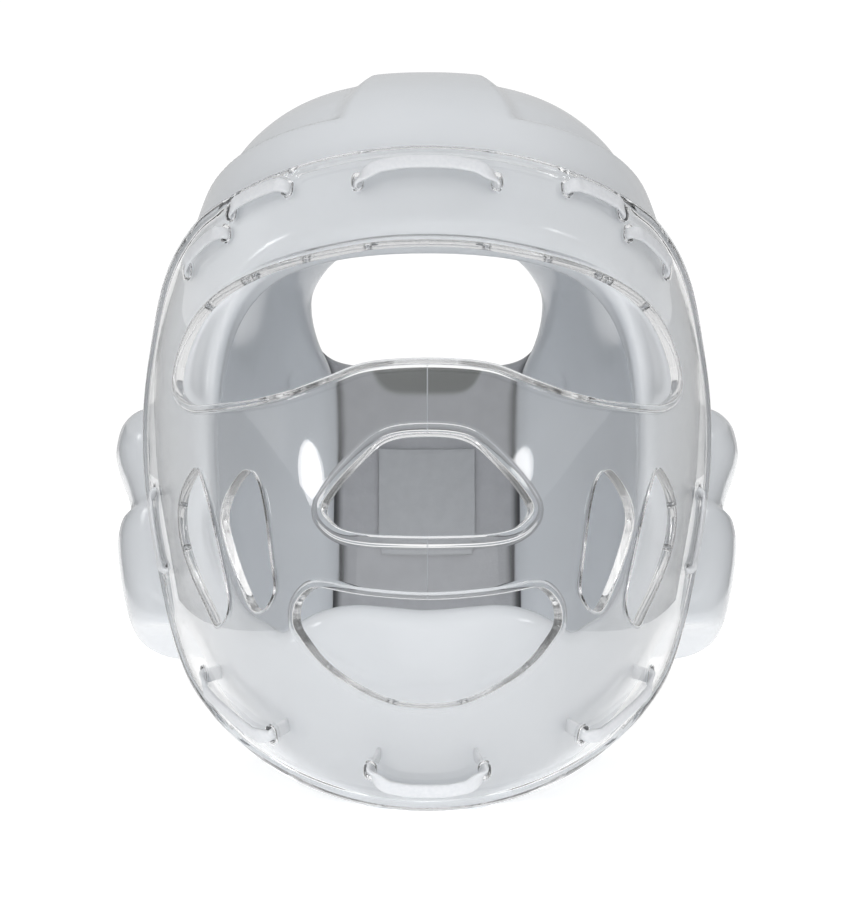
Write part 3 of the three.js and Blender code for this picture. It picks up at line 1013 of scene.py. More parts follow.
@dataclass
class Loop:
    """Closed edge of the mask as rows and sides, with its points and the directions into the sheet."""

    places: Points
    edge: Edge
    points: Points = field(default_factory=lambda: np.zeros((0, 3)))
    away: Points = field(default_factory=lambda: np.zeros((0, 3)))


@dataclass
class FaceMask:
    """Clear domed face mask with a bead around each opening and small holes for the ties."""

    sections: Rows = (
        (52.5, 100, 118.8, -76, 42), (40, 99.4, 122, -62, 28), (27, 98.5, 125.5, -52, 12),
        (8, 98, 131.5, -45, -4), (-14, 96.8, 138, -41, -20), (-36, 94.8, 144, -40, -36),
        (-60, 91.5, 148, -41, -54), (-82, 88, 148.5, -44, -72), (-104, 85, 144, -49, -87),
        (-124, 82.5, 134, -57, -101), (-139, 81.5, 120, -66, -112), (-151.5, 84, 104.5, -74, -121.5),
    )
    eye: Rows = (
        (0, -24.5, 17.2), (12.5, -24.7, 17.1), (21, -25.6, 16.7), (28, -27.8, 16.2), (36.5, -29.8, 15.7),
        (45, -30.6, 15.2), (56, -29.3, 14), (66, -26, 11.5), (73, -22.3, 7), (77.5, -17, 0),
        (79.5, -12.5, -7),
    )
    nose: Rows = (
        (0, -80.7, -49.3), (11, -80.2, -50.3), (18, -79.2, -55), (24.5, -77, -61.5), (28.5, -73.6, -66.5),
        (30, -71, -69),
    )
    mouth: Rows = (
        (0, -126.7, -98.7), (10, -125.5, -98), (20, -121, -96.2), (28, -115.3, -93.8), (33, -110, -92.6),
        (36.5, -105, -94.4), (38.2, -101.5, -97.5),
    )
    outer_vent: Rows = (
        (-45, 70.8, 72.6), (-49, 69.4, 76), (-56, 67.3, 77.2), (-66, 64.7, 75.4), (-78, 61.9, 71),
        (-87, 60, 67), (-91.5, 60, 65), (-93.8, 61.6, 63.6),
    )
    inner_vent: Rows = (
        (-53, 53, 55.6), (-57, 50.6, 59.4), (-63, 49, 61.6), (-71, 47.6, 60.2), (-81, 46.3, 57),
        (-89, 45.2, 53.8), (-92.5, 46, 52.2), (-94.8, 48, 50.4),
    )
    wall: float = 3.0
    corner_round: float = 14.0
    spacing: float = 1.05
    lattice: float = 2.5
    row_share: float = 0.87
    lattice_gap: float = 1.6
    ring_share: float = 0.85
    domain: tuple[float, float] = (150.0, 215.0)
    hole_half: tuple[float, float] = (1.7, 3.0)
    hole_power: float = 0.7
    hole_spacing: float = 0.75
    opening_points: int = 1200
    arc_points: int = 40
    rim_points: int = 60
    hole_points: int = 160
    least_points: int = 12
    halvings: int = 40
    nearing_rounds: int = 4
    eye_edge: Edge = Edge(0.7, 0.6, 1.6, 0.9)
    nose_edge: Edge = Edge(0.8, 0.7, 2.4, 1.1)
    mouth_edge: Edge = Edge(0.6, 0.6, 1.4, 0.8)
    vent_edge: Edge = Edge(0.0, 0.8, 1.0, 0.4)
    rim: Edge = Edge(0.9, 0.8, 2.8, 1.2)
    hole_edge: Edge = Edge(0.0, 0.5, 0.7, 0.3)
    finish: ClearShell = ClearShell()

    def __post_init__(self) -> None:
        """Prepares the smooth rows of the dome."""
        self.row = Spline(self.sections)

    def at(self, places: Points) -> Points:
        """Points of the outer face.

        Args:
            places: Pairs of row, from 0 at the top to 1, and side, from -1 to 1.

        Returns:
            One point in the head frame for each pair.
        """
        v, t = places.T
        z, width, depth, rim_y, rim_z = self.row(v).T
        angle = t * np.arccos(-rim_y / depth)
        return np.column_stack((width * np.sin(angle), -depth * np.cos(angle), z + (rim_z - z) * t * t))

    def slopes(self, places: Points) -> tuple[Points, Points]:
        """How the outer face runs down the rows and across the sides.

        Args:
            places: Pairs of row and side.

        Returns:
            Both slopes at each pair.
        """
        step = 1e-3
        low, high = places.copy(), places.copy()
        low[:, 0] = np.maximum(places[:, 0] - step, 0.0)
        high[:, 0] = np.minimum(places[:, 0] + step, 1.0)
        down = (self.at(high) - self.at(low)) / (high - low)[:, :1]
        across = (self.at(places + (0, step)) - self.at(places - (0, step))) / (2 * step)
        return down, across

    def normals(self, places: Points) -> Points:
        """Directions out of the mask."""
        down, across = self.slopes(places)
        return unit(np.cross(down, across))

    def seen_at(self, x: Points, z: Points) -> Points:
        """Finds the places that are seen from the front.

        Args:
            x: How far aside each is seen.
            z: How high each is seen.

        Returns:
            Pairs of row and side.
        """
        low, high = np.zeros(len(x)), np.ones(len(x))
        side = np.zeros(len(x))
        for _ in range(self.halvings):
            row = (low + high) / 2
            _, width, depth, rim_y, _ = self.row(row).T
            side = np.arcsin(np.clip(x / width, -1.0, 1.0)) / np.arccos(-rim_y / depth)
            above = self.at(np.column_stack((row, side)))[:, 2] > z
            low, high = np.where(above, row, low), np.where(above, high, row)
        return np.column_stack(((low + high) / 2, side))

    def nearest(self, places: Points, target: Points) -> Points:
        """Moves places until their points are nearest to others.

        Args:
            places: Pairs of row and side to start from.
            target: The point that each is to come near to.

        Returns:
            The moved pairs.
        """
        places = places.copy()
        for _ in range(self.nearing_rounds):
            down, across = self.slopes(places)
            miss = target - self.at(places)
            aa, bb, ab = (down**2).sum(1), (across**2).sum(1), (down * across).sum(1)
            da, db = (down * miss).sum(1), (across * miss).sum(1)
            whole = aa * bb - ab * ab
            places[:, 0] = np.clip(places[:, 0] + (da * bb - db * ab) / whole, 0.0, 1.0)
            places[:, 1] += (db * aa - da * ab) / whole
        return places

    def even_loop(self, corners: Rows, edge: Edge) -> Loop:
        """Closed loop through corners seen from the front, with even steps along the surface."""
        smooth = Spline(corners, closed=True)(np.linspace(0, 1, self.opening_points, endpoint=False))
        return self.spaced(self.seen_at(*smooth.T), edge, self.spacing)

    def spaced(self, places: Points, edge: Edge, spacing: float) -> Loop:
        """Keeps evenly spaced places of a dense closed loop.

        Args:
            places: Pairs of row and side.
            edge: The loop's profile.
            spacing: The step between places, in millimetres.

        Returns:
            The loop.
        """
        closed = np.vstack((places, places[:1]))
        run = run_along(self.at(closed))
        count = max(int(round(run[-1] / spacing)), self.least_points)
        stops = np.linspace(0, run[-1], count + 1)[:-1]
        kept = np.column_stack([np.interp(stops, run, closed[:, n]) for n in range(2)])
        return Loop(kept, edge)

    def front_loop(self, stations: Rows, edge: Edge) -> Loop:
        """Opening across the middle.

        Args:
            stations: Rows of half width, lower and upper edge.
            edge: The opening's profile.

        Returns:
            The loop.
        """
        right = [(x, top) for x, _, top in stations] + [(x, low) for x, low, _ in reversed(stations)]
        left = [(-x, z) for x, z in reversed(right) if x > 0]
        return self.even_loop(right + left, edge)

    def vent_loop(self, stations: Rows, side: Side) -> Loop:
        """Vent in one cheek, from stations of height, inner and outer edge."""
        outline = [(far, z) for z, _, far in stations] + [(near, z) for z, near, _ in reversed(stations)]
        return self.even_loop([(side.value * x, z) for x, z in outline], self.vent_edge)

    def rim_loop(self) -> Loop:
        """Outer rim with rounded corners.

        Returns:
            The loop.
        """
        wide, tall = self.domain
        turn = np.linspace(0, math.pi / 2, self.arc_points)
        corner = self.corner_round
        arcs = []
        for quarter, (x, y) in enumerate(((wide, tall), (-wide, tall), (-wide, 0), (wide, 0))):
            angle = turn + quarter * math.pi / 2
            across = x - math.copysign(corner, x) + corner * np.cos(angle)
            down = (y - corner if y else corner) + corner * np.sin(angle)
            arcs.append(np.column_stack((down, across)))
        ring = np.vstack(arcs)
        closed = np.vstack((ring, ring[:1]))
        spans = zip(closed[:-1], closed[1:])
        dense = np.vstack([np.linspace(a, b, self.rim_points, endpoint=False) for a, b in spans])
        return self.spaced(dense / (tall, wide), self.rim, self.spacing)

    def hole_loop(self, tie: "Tie", end: int) -> Loop:
        """Small slot for one end of a tie.

        Args:
            tie: The tie that goes through it.
            end: 0 for the tie's start, 1 for its finish.

        Returns:
            The loop.
        """
        place, point, _, along, across = tie.hole(self, end)
        angle = np.linspace(0, 2 * math.pi, self.hole_points, endpoint=False)[:, None]
        length = self.hole_half[0] * squared_off(np.cos(angle), self.hole_power)
        width = self.hole_half[1] * squared_off(np.sin(angle), self.hole_power)
        ring = point + length * along + width * across
        places = self.nearest(np.repeat(place[None], len(ring), axis=0), ring)
        return self.spaced(places, self.hole_edge, self.hole_spacing)

    def loops(self, ties: Sequence["Tie"]) -> list[Loop]:
        """All edges with the direction from each into the sheet.

        Args:
            ties: The ties, whose holes go through the mask.

        Returns:
            The rim first, then every opening.
        """
        fronts = ((self.eye, self.eye_edge), (self.nose, self.nose_edge), (self.mouth, self.mouth_edge))
        found = [self.rim_loop(), *(self.front_loop(rows, edge) for rows, edge in fronts)]
        for side in Side:
            found += [self.vent_loop(self.outer_vent, side), self.vent_loop(self.inner_vent, side)]
        found += [self.hole_loop(tie, end) for tie in ties for end in (0, 1)]
        for number, loop in enumerate(found):
            loop.points = self.at(loop.places)
            run = np.roll(loop.points, -1, axis=0) - np.roll(loop.points, 1, axis=0)
            away = unit(np.cross(self.normals(loop.places), run))
            middle = loop.points.mean(axis=0)
            outward = ((loop.points - middle) * away).sum() > 0
            loop.away = away if outward == (number > 0) else -away
        return found

    def profile(self, edge: Edge, depth: float) -> tuple[float, float]:
        """Heights of both faces near an edge.

        Args:
            edge: The edge's profile.
            depth: How far in from the edge, in millimetres.

        Returns:
            Heights of the outer and the inner face above the sheet's outer face.
        """
        if depth <= 0.0:
            middle = (edge.rise - self.wall) / 2
            return middle, middle
        aside = max(edge.corner - depth, 0.0)
        drop = edge.corner - math.sqrt(max(edge.corner**2 - aside**2, 0.0))
        part = min(max((depth - edge.flat) / edge.fall, 0.0), 1.0)
        top = edge.rise * (1 - part * part * (3 - 2 * part))
        return top - drop, drop - self.wall

    def cover(self, loops: Sequence[Loop]) -> tuple[Points, Points, list[tuple[int, int]]]:
        """Spreads points over the sheet: rings along each edge and a lattice between them.

        Args:
            loops: All edges of the sheet.

        Returns:
            The places, the heights of both faces with the number of the edge that a point is on, and the
            edges between points that stay.
        """
        tree = KDTree(sum(len(loop.points) for loop in loops))
        owner: list[tuple[int, int]] = []
        for number, loop in enumerate(loops):
            for k, point in enumerate(loop.points):
                tree.insert(Vector(point), len(owner))
                owner.append((number, k))
        tree.balance()
        places: list[Points] = []
        heights: list[tuple[float, float, int]] = []
        fixed: list[tuple[int, int]] = []
        for number, loop in enumerate(loops):
            start, count = len(places), len(loop.places)
            places.extend(loop.places)
            heights.extend([(*self.profile(loop.edge, 0.0), number)] * count)
            fixed.extend((start + k, start + (k + 1) % count) for k in range(count))
        for number, loop in enumerate(loops):
            for depth in loop.edge.rings():
                ring = self.nearest(loop.places, loop.points + depth * loop.away)
                numbers = []
                for place, point in zip(ring, self.at(ring)):
                    _, index, gap = tree.find(Vector(point))
                    clear = owner[index][0] == number and gap > self.ring_share * depth
                    numbers.append(len(places) if clear else -1)
                    if clear:
                        places.append(place)
                        heights.append((*self.profile(loop.edge, depth), -1))
                pairs = zip(numbers, numbers[1:] + numbers[:1])
                fixed.extend((a, b) for a, b in pairs if min(a, b) >= 0)
        columns = np.arange(-self.domain[0], self.domain[0], self.lattice)
        rows = np.arange(0.0, self.domain[1], self.lattice * self.row_share)
        shifts = [(n % 2) * self.lattice / 2 for n in range(len(rows))]
        grid = np.array([(b, a + shift) for b, shift in zip(rows, shifts) for a in columns])
        grid = grid / self.domain[::-1]
        for place, point in zip(grid, self.at(grid)):
            _, index, gap = tree.find(Vector(point))
            number, k = owner[index]
            loop = loops[number]
            reach = loop.edge.flat + loop.edge.fall + self.lattice_gap
            if gap > reach and ((point - loop.points[k]) * loop.away[k]).sum() > 0:
                places.append(place)
                heights.append((0.0, -self.wall, -1))
        return np.array(places), np.array(heights), fixed

    def build(self, ties: Sequence["Tie"]) -> bpy.types.Object:
        """Fills the sheet between its edges and gives it two faces.

        Args:
            ties: The ties, whose holes go through the mask.

        Returns:
            The clear piece.
        """
        places, heights, fixed = self.cover(self.loops(ties))
        flat = [Vector((t * self.domain[0], v * self.domain[1])) for v, t in places]
        spots, _, triangles, sources, _, _ = delaunay_2d_cdt(flat, fixed, [], 0, 1e-5)
        plain = (0.0, -self.wall, -1)
        heights = np.array([heights[source[0]] if source else plain for source in sources])
        places = np.array([(spot.y, spot.x) for spot in spots]) / self.domain[::-1]
        points, normals = self.at(places), self.normals(places)
        outside = REST.to_floor(points + normals * heights[:, :1])
        inside = REST.to_floor(points + normals * heights[:, 1:2])
        bm = bmesh.new()
        verts = [bm.verts.new(place) for place in outside]
        for corners in triangles:
            edges = {heights[k, 2] for k in corners}
            if len(edges) > 1 or -1 in edges:
                bm.faces.new([verts[k] for k in corners])
        bm.normal_update()
        if sum(face.normal.y for face in bm.faces) > 0:
            bmesh.ops.reverse_faces(bm, faces=bm.faces)
        copy = bmesh.ops.duplicate(bm, geom=[*bm.verts, *bm.faces])
        for vert, place in zip(verts, inside):
            copy["vert_map"][vert].co = place
        inner = [item for item in copy["geom"] if isinstance(item, bmesh.types.BMFace)]
        bmesh.ops.reverse_faces(bm, faces=inner)
        bmesh.ops.remove_doubles(bm, verts=bm.verts, dist=WELD)
        loose = [vert for vert in bm.verts if not vert.link_faces]
        bmesh.ops.delete(bm, geom=loose, context="VERTS")
        piece = new_piece("clear_mask", bm, self.finish.material(), ["face_mask"])
        piece.visible_shadow = False
        return piece


@dataclass
class Tie:
    """Short flat strap that lies on the mask and turns down through two holes into the foam."""

    name: str
    start: tuple[float, float]
    finish: tuple[float, float]
    bow: tuple[float, float]
    width: float = 4.8
    thick: float = 1.4
    gap: float = 0.3
    foot_gap: float = 0.5
    longest_leg: float = 25.0
    leg_step: float = 0.1
    turn_depths: tuple[float, float] = (-2.2, -0.6)
    stops: int = 11
    steps: int = 65
    sides: int = 24
    bow_power: float = 4.0
    round_powers: tuple[float, float] = (0.55, 0.75)

    def mirrored(self) -> "Tie":
        """The same tie on the other side of the head."""
        flipped = ((row, -side) for row, side in (self.finish, self.start, self.bow))
        return Tie(self.name.replace("right", "left"), *flipped)

    def hole(self, mask: FaceMask, end: int) -> tuple[Points, Points, Points, Points, Points]:
        """Measures one hole.

        Args:
            mask: The mask that it goes through.
            end: 0 for the start, 1 for the finish.

        Returns:
            The hole's place and point, and the directions outward, along and across.
        """
        ends = np.array([self.start, self.finish], float)
        points, normals = mask.at(ends), mask.normals(ends)
        normal = normals[end]
        along = points[1] - points[0]
        along = unit(along - normal * (along @ normal))
        return ends[end], points[end], normal, along, np.cross(normal, along)

    def leg(self, mask: FaceMask, foam: FoamShell, end: int) -> float:
        """Depth from the mask's face down to just above the foam.

        Args:
            mask: The mask that the strap lies on.
            foam: The foam under it.
            end: 0 for the start, 1 for the finish.

        Returns:
            The depth in millimetres.
        """
        _, point, normal, along, across = self.hole(mask, end)
        steps = np.arange(0.0, self.longest_leg, self.leg_step)
        deep = []
        for w in (-0.5, 0.5):
            for h in (-0.5, 0.5):
                corner = point + across * w * self.width + along * h * self.thick
                under = foam.distance(corner - normal * steps[:, None]) < self.foot_gap
                deep.append(steps[under.argmax()] if under.any() else steps[-1])
        return float(min(deep))

    def line(self, mask: FaceMask, foam: FoamShell) -> tuple[Points, Points]:
        """Middle line of the strap.

        Args:
            mask: The mask that the strap lies on.
            foam: The foam under it.

        Returns:
            Points of the line, and the direction out of the strap's face at each.
        """
        lie = self.gap + self.thick / 2
        _, first, out, along, _ = self.hole(mask, 0)
        _, last, last_out, last_along, _ = self.hole(mask, 1)
        stops, ups = [], []
        for depth in (-self.leg(mask, foam, 0), *self.turn_depths):
            stops.append(first + out * depth)
            ups.append(-along)
        for part in np.linspace(0.0, 1.0, self.stops)[1:-1]:
            bow = 1 - abs(2 * part - 1) ** self.bow_power
            pairs = zip(self.start, self.finish, self.bow)
            place = np.array([[a + (b - a) * part + c * bow for a, b, c in pairs]])
            normal = mask.normals(place)[0]
            stops.append(mask.at(place)[0] + normal * lie)
            ups.append(normal)
        for depth in (*reversed(self.turn_depths), -self.leg(mask, foam, 1)):
            stops.append(last + last_out * depth)
            ups.append(last_along)
        parts = np.linspace(0.0, 1.0, self.steps)
        return Spline(stops)(parts), unit(Spline(ups)(parts))

    def build(self, mask: FaceMask, foam: FoamShell, material: bpy.types.Material) -> bpy.types.Object:
        """Rolls a grid into the strap along its line.

        Args:
            mask: The mask that the strap lies on.
            foam: The foam under it.
            material: Its finish.

        Returns:
            The strap.
        """
        line, up = self.line(mask, foam)
        run = unit(np.gradient(line, axis=0))
        across = unit(np.cross(up, run))
        up = np.cross(run, across)
        bm = bmesh.new()
        layer = bm.verts.layers.float.new("along")
        verts = add_grid(bm, self.sides, len(line) - 1, lambda u, v: np.column_stack((u, v, 0 * u)))
        around, along = np.array([vert.co[:2] for vert in verts]).T
        k = (along * (len(line) - 1)).round().astype(int)
        angle = around * 2 * math.pi
        wide = squared_off(np.cos(angle), self.round_powers[0]) * self.width / 2
        tall = squared_off(np.sin(angle), self.round_powers[1]) * self.thick / 2
        places = REST.to_floor(line[k] + across[k] * wide[:, None] + up[k] * tall[:, None])
        for vert, place, length in zip(verts, places, run_along(line)[k]):
            vert[layer] = length * MM
            vert.co = place
        bmesh.ops.remove_doubles(bm, verts=bm.verts, dist=WELD)
        bmesh.ops.holes_fill(bm, edges=[edge for edge in bm.edges if edge.is_boundary], sides=0)
        bmesh.ops.recalc_face_normals(bm, faces=bm.faces)
        strap = new_piece(self.name.replace("tie", "strap"), bm, material, [self.name])
        strap.visible_shadow = False
        return strap


def all_ties() -> list[Tie]:
    """Places the ties of the mask.

    Returns:
        The ten ties.
    """
    middle = [
        Tie("tie_top", (0.078, -0.216), (0.078, 0.216), (-0.032, 0.0)),
        Tie("tie_chin", (0.938, -0.222), (0.938, 0.222), (0.024, 0.0)),
    ]
    right = [
        Tie("tie_brow_right", (0.048, 0.472), (0.045, 0.70), (-0.012, 0.008)),
        Tie("tie_temple_right", (0.096, 0.67), (0.118, 0.83), (-0.016, 0.03)),
        Tie("tie_side_right", (0.47, 0.93), (0.6, 0.93), (0.0, 0.03)),
        Tie("tie_jaw_right", (0.804, 0.853), (0.903, 0.606), (0.024, 0.045)),
    ]
    return middle + right + [tie.mirrored() for tie in right]


@dataclass
class RearClosure:
    """Padded flap across the slot at the back of the head, and the plain label on its inner side."""

    half_width: float = 50.0
    bottom: float = -80.0
    top_centre: float = 57.2
    top_corner: float = 63.0
    top_crown: float = 1.3
    corner_x: float = 41.0
    top_power: float = 10.0
    corner_round: float = 12.0
    thick: float = 4.5
    gap: float = 0.9
    edge: float = 2.2
    crown_half: float = 26.0
    flap_cells: tuple[int, int] = (120, 130)
    # Darker top band: its lower edge at the middle, its rise towards the sides and the half width of that
    # rise, in millimetres.
    top_band: tuple[float, float, float] = (129.2, 6.0, 20.5)
    top_band_power: int = 6
    top_band_blur: float = 0.9
    gap_shade_reach: tuple[float, float] = (-3.4, -0.4)
    inner_normal: float = 0.2
    label_half_width: float = 18.5
    label_span: tuple[float, float] = (-16.0, 26.0)
    label_thick: float = 0.7
    label_cells: tuple[int, int] = (18, 20)
    label_bevel: float = 0.2
    cloth: BrushedLoop = BrushedLoop()
    label_cloth: SatinLabel = SatinLabel()

    def back_point(self, foam: FoamShell, x: Points, z: Points) -> Points:
        """Points of the foam's outer face at the back.

        Args:
            foam: The shell.
            x: How far aside each is seen from behind.
            z: How high each is seen.

        Returns:
            One point in the head frame for each.
        """
        power = foam.section_power
        side = np.abs(x / foam.half_width(z)) ** power
        return np.column_stack((x, np.sqrt(foam.back(z)) * (1 - side) ** (1 / power), z))

    def lifted(self, foam: FoamShell, x: Points, z: Points, lift: Points) -> Points:
        """Points above the foam's outer face at the back.

        Args:
            foam: The shell.
            x: How far aside each is seen from behind.
            z: How high each is seen.
            lift: How far each stands above the face.

        Returns:
            Points on the floor in metres.
        """
        step = 0.5
        up = self.back_point(foam, x, z + step) - self.back_point(foam, x, z - step)
        over = self.back_point(foam, x + step, z) - self.back_point(foam, x - step, z)
        return REST.to_floor(self.back_point(foam, x, z) + unit(np.cross(up, over)) * lift[:, None])

    def flap_face(self, foam: FoamShell, over: Points, rise: Points, face: int) -> Points:
        """One face of the flap, which swells from its rounded border to its full thickness.

        Args:
            foam: The shell that the flap lies on.
            over: Parts of the width, from 0 to 1.
            rise: Parts of the height, from 0 to 1.
            face: 1 for the outer face, -1 for the inner one.

        Returns:
            Points on the floor in metres.
        """
        eased = 0.5 - 0.5 * np.cos(math.pi * rise)
        corner = self.corner_round
        end = np.clip(np.minimum(eased, 1 - eased) * (self.top_corner - self.bottom) / corner, 0.0, 1.0)
        trim = corner * (1 - np.sqrt(1 - (1 - end) ** 2))
        x = np.sin((over - 0.5) * math.pi) * (self.half_width - trim)
        lift = np.minimum(np.abs(x) / self.corner_x, 1.0) ** self.top_power
        crown = self.top_crown * (1 - np.minimum(np.abs(x) / self.crown_half, 1.0) ** 2)
        top = self.top_centre + (self.top_corner - self.top_centre) * lift + crown
        z = self.bottom + (top - self.bottom) * eased
        side, ends = self.half_width - np.abs(x), end * corner
        round_in = corner - np.hypot(np.maximum(corner - side, 0.0), np.maximum(corner - ends, 0.0))
        depth = np.where(ends < corner, np.minimum(round_in, side), side)
        swell = np.sqrt(1 - (1 - np.clip(depth / self.edge, 0.0, 1.0)) ** 2)
        return self.lifted(foam, x, z, self.gap + self.thick / 2 * (1 + face * swell))

    def label_face(self, foam: FoamShell, over: Points, rise: Points, depth: float) -> Points:
        """One face of the label.

        Args:
            foam: The shell that the flap lies on.
            over: Parts of the width, from 0 to 1.
            rise: Parts of the height, from 0 to 1.
            depth: How far in from the foam's outer face.

        Returns:
            Points on the floor in metres.
        """
        low, high = self.label_span
        x, z = (over * 2 - 1) * self.label_half_width, low + (high - low) * rise
        return self.lifted(foam, x, z, np.full(len(x), -depth))

    def mark_top_band_and_gap_shade(self, bm: BMesh, foam: FoamShell) -> None:
        """Marks, as attributes, a darker band across the top of the inner side and painted shade along the
        slot's edges, where the flap lies in the gap's shadow.

        Args:
            bm: The flap's mesh.
            foam: The shell that the flap lies on.
        """
        top_band = bm.verts.layers.float.new("top_band")
        crease = bm.verts.layers.float.new("crease")
        low, rise, half = self.top_band
        places = np.array([vert.co for vert in bm.verts])
        x, _, z = REST.to_head(places).T
        # Painted shade: 1 at the slot's edge and beyond, fading to 0 by 3.4 mm inside the slot.
        near = ease(*self.gap_shade_reach, foam.rear_field(x, z))
        # Darker top band: 1 above a line that rises towards the sides, with a soft edge.
        above = places[:, 2] / MM - low - rise * np.abs(places[:, 0] / MM / half) ** self.top_band_power
        in_top_band = ease(-self.top_band_blur, self.top_band_blur, above)
        bm.normal_update()
        for vert, plain, dark in zip(bm.verts, in_top_band, near):
            inner = vert.normal.y < self.inner_normal
            # Only the inner face gets the darker top band and the painted gap shade.
            vert[top_band], vert[crease] = (plain, dark) if inner else (0.0, 0.0)

    def build(self, foam: FoamShell) -> list[bpy.types.Object]:
        """Makes the flap and its label.

        Args:
            foam: The shell that the flap lies on.

        Returns:
            Both pieces.
        """
        flap = bmesh.new()
        for face in (1, -1):
            add_grid(flap, *self.flap_cells, lambda u, v: self.flap_face(foam, u, v, face))
        bmesh.ops.remove_doubles(flap, verts=flap.verts, dist=WELD)
        bmesh.ops.recalc_face_normals(flap, faces=flap.faces)
        self.mark_top_band_and_gap_shade(flap, foam)
        flap_piece = new_piece("rear_flap", flap, self.cloth.material(), ["back_flap"])
        label = bmesh.new()
        for depth in (0.0, self.label_thick):
            add_grid(label, *self.label_cells, lambda u, v: self.label_face(foam, u, v, depth))
        rims = [edge for edge in label.edges if edge.is_boundary]
        bmesh.ops.bridge_loops(label, edges=rims)
        bmesh.ops.recalc_face_normals(label, faces=label.faces)
        border = [edge for edge in label.edges if edge.calc_face_angle(0.0) > math.radians(50)]
        bmesh.ops.bevel(
            label, geom=border, offset=self.label_bevel * MM, offset_type="OFFSET", affect="EDGES",
            segments=2, profile=0.5, material=-1, clamp_overlap=True,
        )
        satin = self.label_cloth.material()
        label_piece = new_piece("blank_label", label, satin, ["inner_label"])
        return [flap_piece, label_piece]


CARD_TURN = Matrix.Rotation(math.pi / 2, 3, "Y")


@dataclass(frozen=True)
class Softbox:
    """Soft light: its place, size and power, and whether it shows in gloss and lights matt faces."""

    name: str
    place: tuple[float, float, float]
    size: tuple[float, float]
    power: float
    mirrored: bool = True
    lighting: bool = True


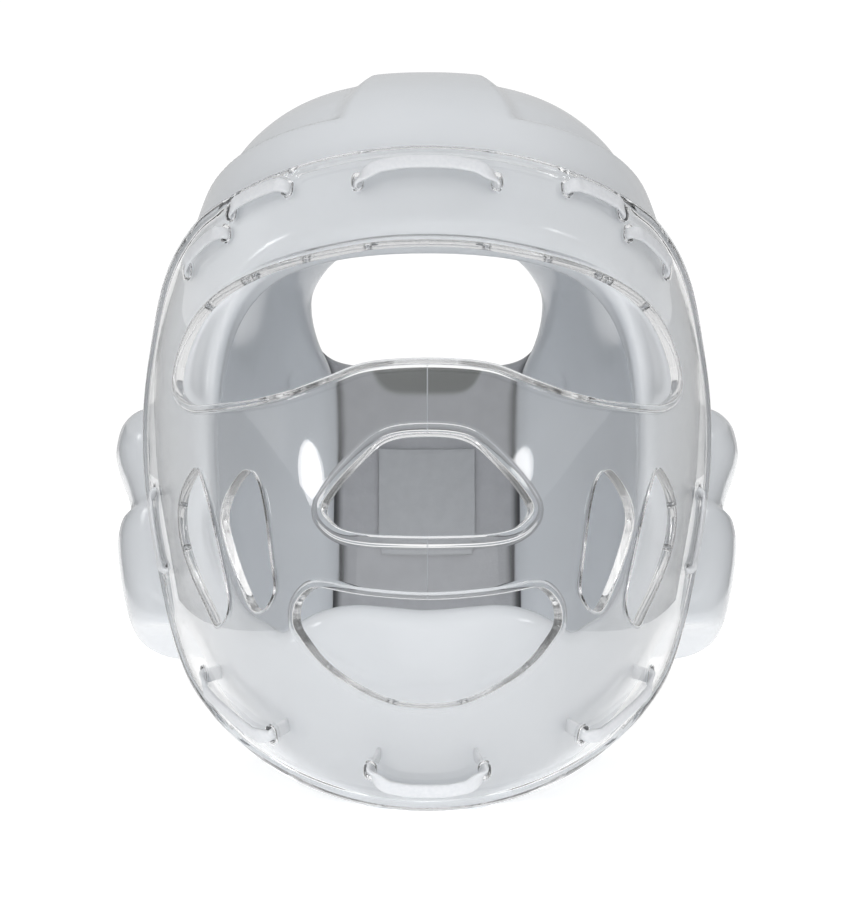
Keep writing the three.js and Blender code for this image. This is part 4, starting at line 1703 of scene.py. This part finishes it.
@dataclass
class Studio:
    """Pale floor, white surroundings, soft lights and the camera."""

    target: tuple[float, float, float] = (0.0, 0.0187, 0.1032)
    distance: float = 0.95
    camera_x: float = -0.0007
    focal_px: float = 2770.0
    picture_px: tuple[int, int] = (850, 920)
    sensor: float = 36.0
    sky: float = 0.62
    floor_size: float = 14.0
    floor_glow: float = 0.53
    dome_radius: float = 6.5
    white: float = 1.05
    bounces: tuple[int, int, int] = (64, 48, 64)
    bright_half_angle: tuple[float, float] = (20.0, 42.0)
    surround: float = 0.96
    floor_grey: float = 0.93
    floor_gloss: tuple[float, float] = (0.7, 0.8)
    card_grey: float = 0.04
    card_gloss: tuple[float, float] = (0.85, 0.95)
    patches: Grain = Grain(3.0)
    card_x: float = 0.40
    card_size: tuple[float, float] = (0.25, 1.0)
    boxes: Sequence[Softbox] = (
        Softbox("softbox_left", (-1.70, -0.52, 0.95), (0.40, 0.40), 2.6, lighting=False),
        Softbox("softbox_right", (1.49, -0.83, 1.11), (0.44, 0.32), 1.9, lighting=False),
        Softbox("front_fill", (0.1, -2.4, 0.7), (1.4, 1.1), 13.0, mirrored=False),
        Softbox("left_wash", (-1.4, -0.9, 1.3), (1.0, 1.0), 3.0, mirrored=False),
    )

    def staged(self, name: str, bm: BMesh, material: bpy.types.Material) -> bpy.types.Object:
        """Adds a mesh that isn't part of the object.

        Args:
            name: Its plain name.
            bm: Its mesh in metres, which is freed.
            material: Its finish.

        Returns:
            The new object.
        """
        mesh = bpy.data.meshes.new(name)
        bm.to_mesh(mesh)
        bm.free()
        mesh.materials.append(material)
        prop = bpy.data.objects.new(name, mesh)
        bpy.context.scene.collection.objects.link(prop)
        return prop

    def floor(self) -> bpy.types.Object:
        """Pale floor under the headgear.

        Returns:
            The floor.
        """
        bm = bmesh.new()
        bmesh.ops.create_grid(bm, x_segments=8, y_segments=8, size=self.floor_size / 2)
        nodes = Nodes("pale_floor")
        nodes.set(Base_Color=(*[self.floor_grey] * 3, 1.0))
        nodes.set(Roughness=nodes.span(nodes.noise(self.patches), *self.floor_gloss))
        nodes.set(Emission_Color=WHITE, Emission_Strength=self.floor_glow, Specular_IOR_Level=0.0)
        return self.staged("floor", bm, nodes.material)

    def dome(self, name: str, radius: float, strength: Callable[[Nodes], Any]) -> bpy.types.Object:
        """Glowing dome around everything, which matt faces and gloss don't see.

        Args:
            name: Its plain name.
            radius: Its radius in metres.
            strength: Makes its glow from its own nodes.

        Returns:
            The dome.
        """
        bm = bmesh.new()
        bmesh.ops.create_uvsphere(bm, u_segments=48, v_segments=24, radius=radius)
        nodes = Nodes(name)
        nodes.set(Base_Color=BLACK, Specular_IOR_Level=0.0)
        nodes.set(Emission_Color=WHITE, Emission_Strength=strength(nodes))
        dome = self.staged(name, bm, nodes.material)
        dome.visible_diffuse = dome.visible_glossy = dome.visible_shadow = False
        return dome

    def backdrop(self) -> None:
        """White surroundings for the eye, and a bright field in darker ones as seen through the mask."""
        radius = self.dome_radius
        white = self.dome("backdrop", radius, lambda nodes: self.white)
        white.visible_transmission = False
        near, far = (radius * math.cos(math.radians(angle)) for angle in reversed(self.bright_half_angle))

        def glow(nodes: Nodes) -> Any:
            """Glow that falls off to the sides of the way the camera looks."""
            return nodes.span(nodes.axis("Y"), self.surround, self.white, near, far)

        seen_through = self.dome("bright_field", radius, glow)
        seen_through.visible_camera = False

    def cards(self) -> None:
        """Dark cards beside the headgear, out of sight, that draw the edges of its white pads."""
        nodes = Nodes("dark_card")
        nodes.set(Base_Color=(*[self.card_grey] * 3, 1.0))
        nodes.set(Roughness=nodes.span(nodes.noise(self.patches), *self.card_gloss))
        for side in Side:
            bm = bmesh.new()
            bmesh.ops.create_grid(bm, x_segments=2, y_segments=2, size=0.5)
            bmesh.ops.scale(bm, vec=(*self.card_size, 1.0), verts=bm.verts)
            bmesh.ops.rotate(bm, cent=(0.0, 0.0, 0.0), matrix=CARD_TURN, verts=bm.verts)
            middle = (side.value * self.card_x, 0.0, self.card_size[0] / 2)
            bmesh.ops.translate(bm, vec=middle, verts=bm.verts)
            card = self.staged(f"card_{side.name.lower()}", bm, nodes.material)
            card.visible_camera = card.visible_transmission = card.visible_shadow = False

    def lights(self) -> None:
        """White surroundings and the soft lights."""
        world = bpy.data.worlds.new("white_room")
        world.use_nodes = True
        back = world.node_tree.nodes["Background"]
        back.inputs["Color"].default_value = WHITE
        back.inputs["Strength"].default_value = self.sky
        bpy.context.scene.world = world
        for box in self.boxes:
            lamp = bpy.data.lights.new(box.name, "AREA")
            lamp.shape, lamp.energy = "ELLIPSE", box.power
            lamp.size, lamp.size_y = box.size
            light = bpy.data.objects.new(box.name, lamp)
            light.location = box.place
            light.visible_glossy = light.visible_transmission = box.mirrored
            light.visible_diffuse = box.lighting
            aim = Vector(self.target) - Vector(box.place)
            light.rotation_euler = aim.to_track_quat("-Z", "Y").to_euler()
            bpy.context.scene.collection.objects.link(light)

    def camera(self) -> bpy.types.Object:
        """Camera at the picture's angle.

        Returns:
            The camera.
        """
        lens = bpy.data.cameras.new("camera")
        lens.sensor_width = self.sensor
        lens.lens = self.focal_px / max(self.picture_px) * self.sensor
        lens.clip_start, lens.clip_end = 0.01, 50.0
        camera = bpy.data.objects.new("camera", lens)
        camera.location = (self.camera_x, self.target[1] - self.distance, self.target[2])
        camera.rotation_euler = (math.pi / 2, 0.0, 0.0)
        bpy.context.scene.collection.objects.link(camera)
        bpy.context.scene.camera = camera
        return camera

    def build(self) -> None:
        """Sets up the whole studio."""
        self.camera()
        self.floor()
        self.backdrop()
        self.cards()
        self.lights()
        bpy.context.scene.view_settings.view_transform = "Standard"
        cycles = bpy.context.scene.cycles
        cycles.max_bounces, cycles.glossy_bounces, cycles.transmission_bounces = self.bounces
        log.info("studio: %d lights", len(self.boxes))


def main() -> None:
    """Builds every piece in order."""
    logging.basicConfig(level=logging.INFO, format="%(name)s %(message)s")
    Studio().build()
    foam, mask, ties = FoamShell(), FaceMask(), all_ties()
    foam.build()
    mask.build(ties)
    elastic = WovenElastic().material()
    for tie in ties:
        tie.build(mask, foam, elastic)
    RearClosure().build(foam)


if __name__ == "__main__":
    main()
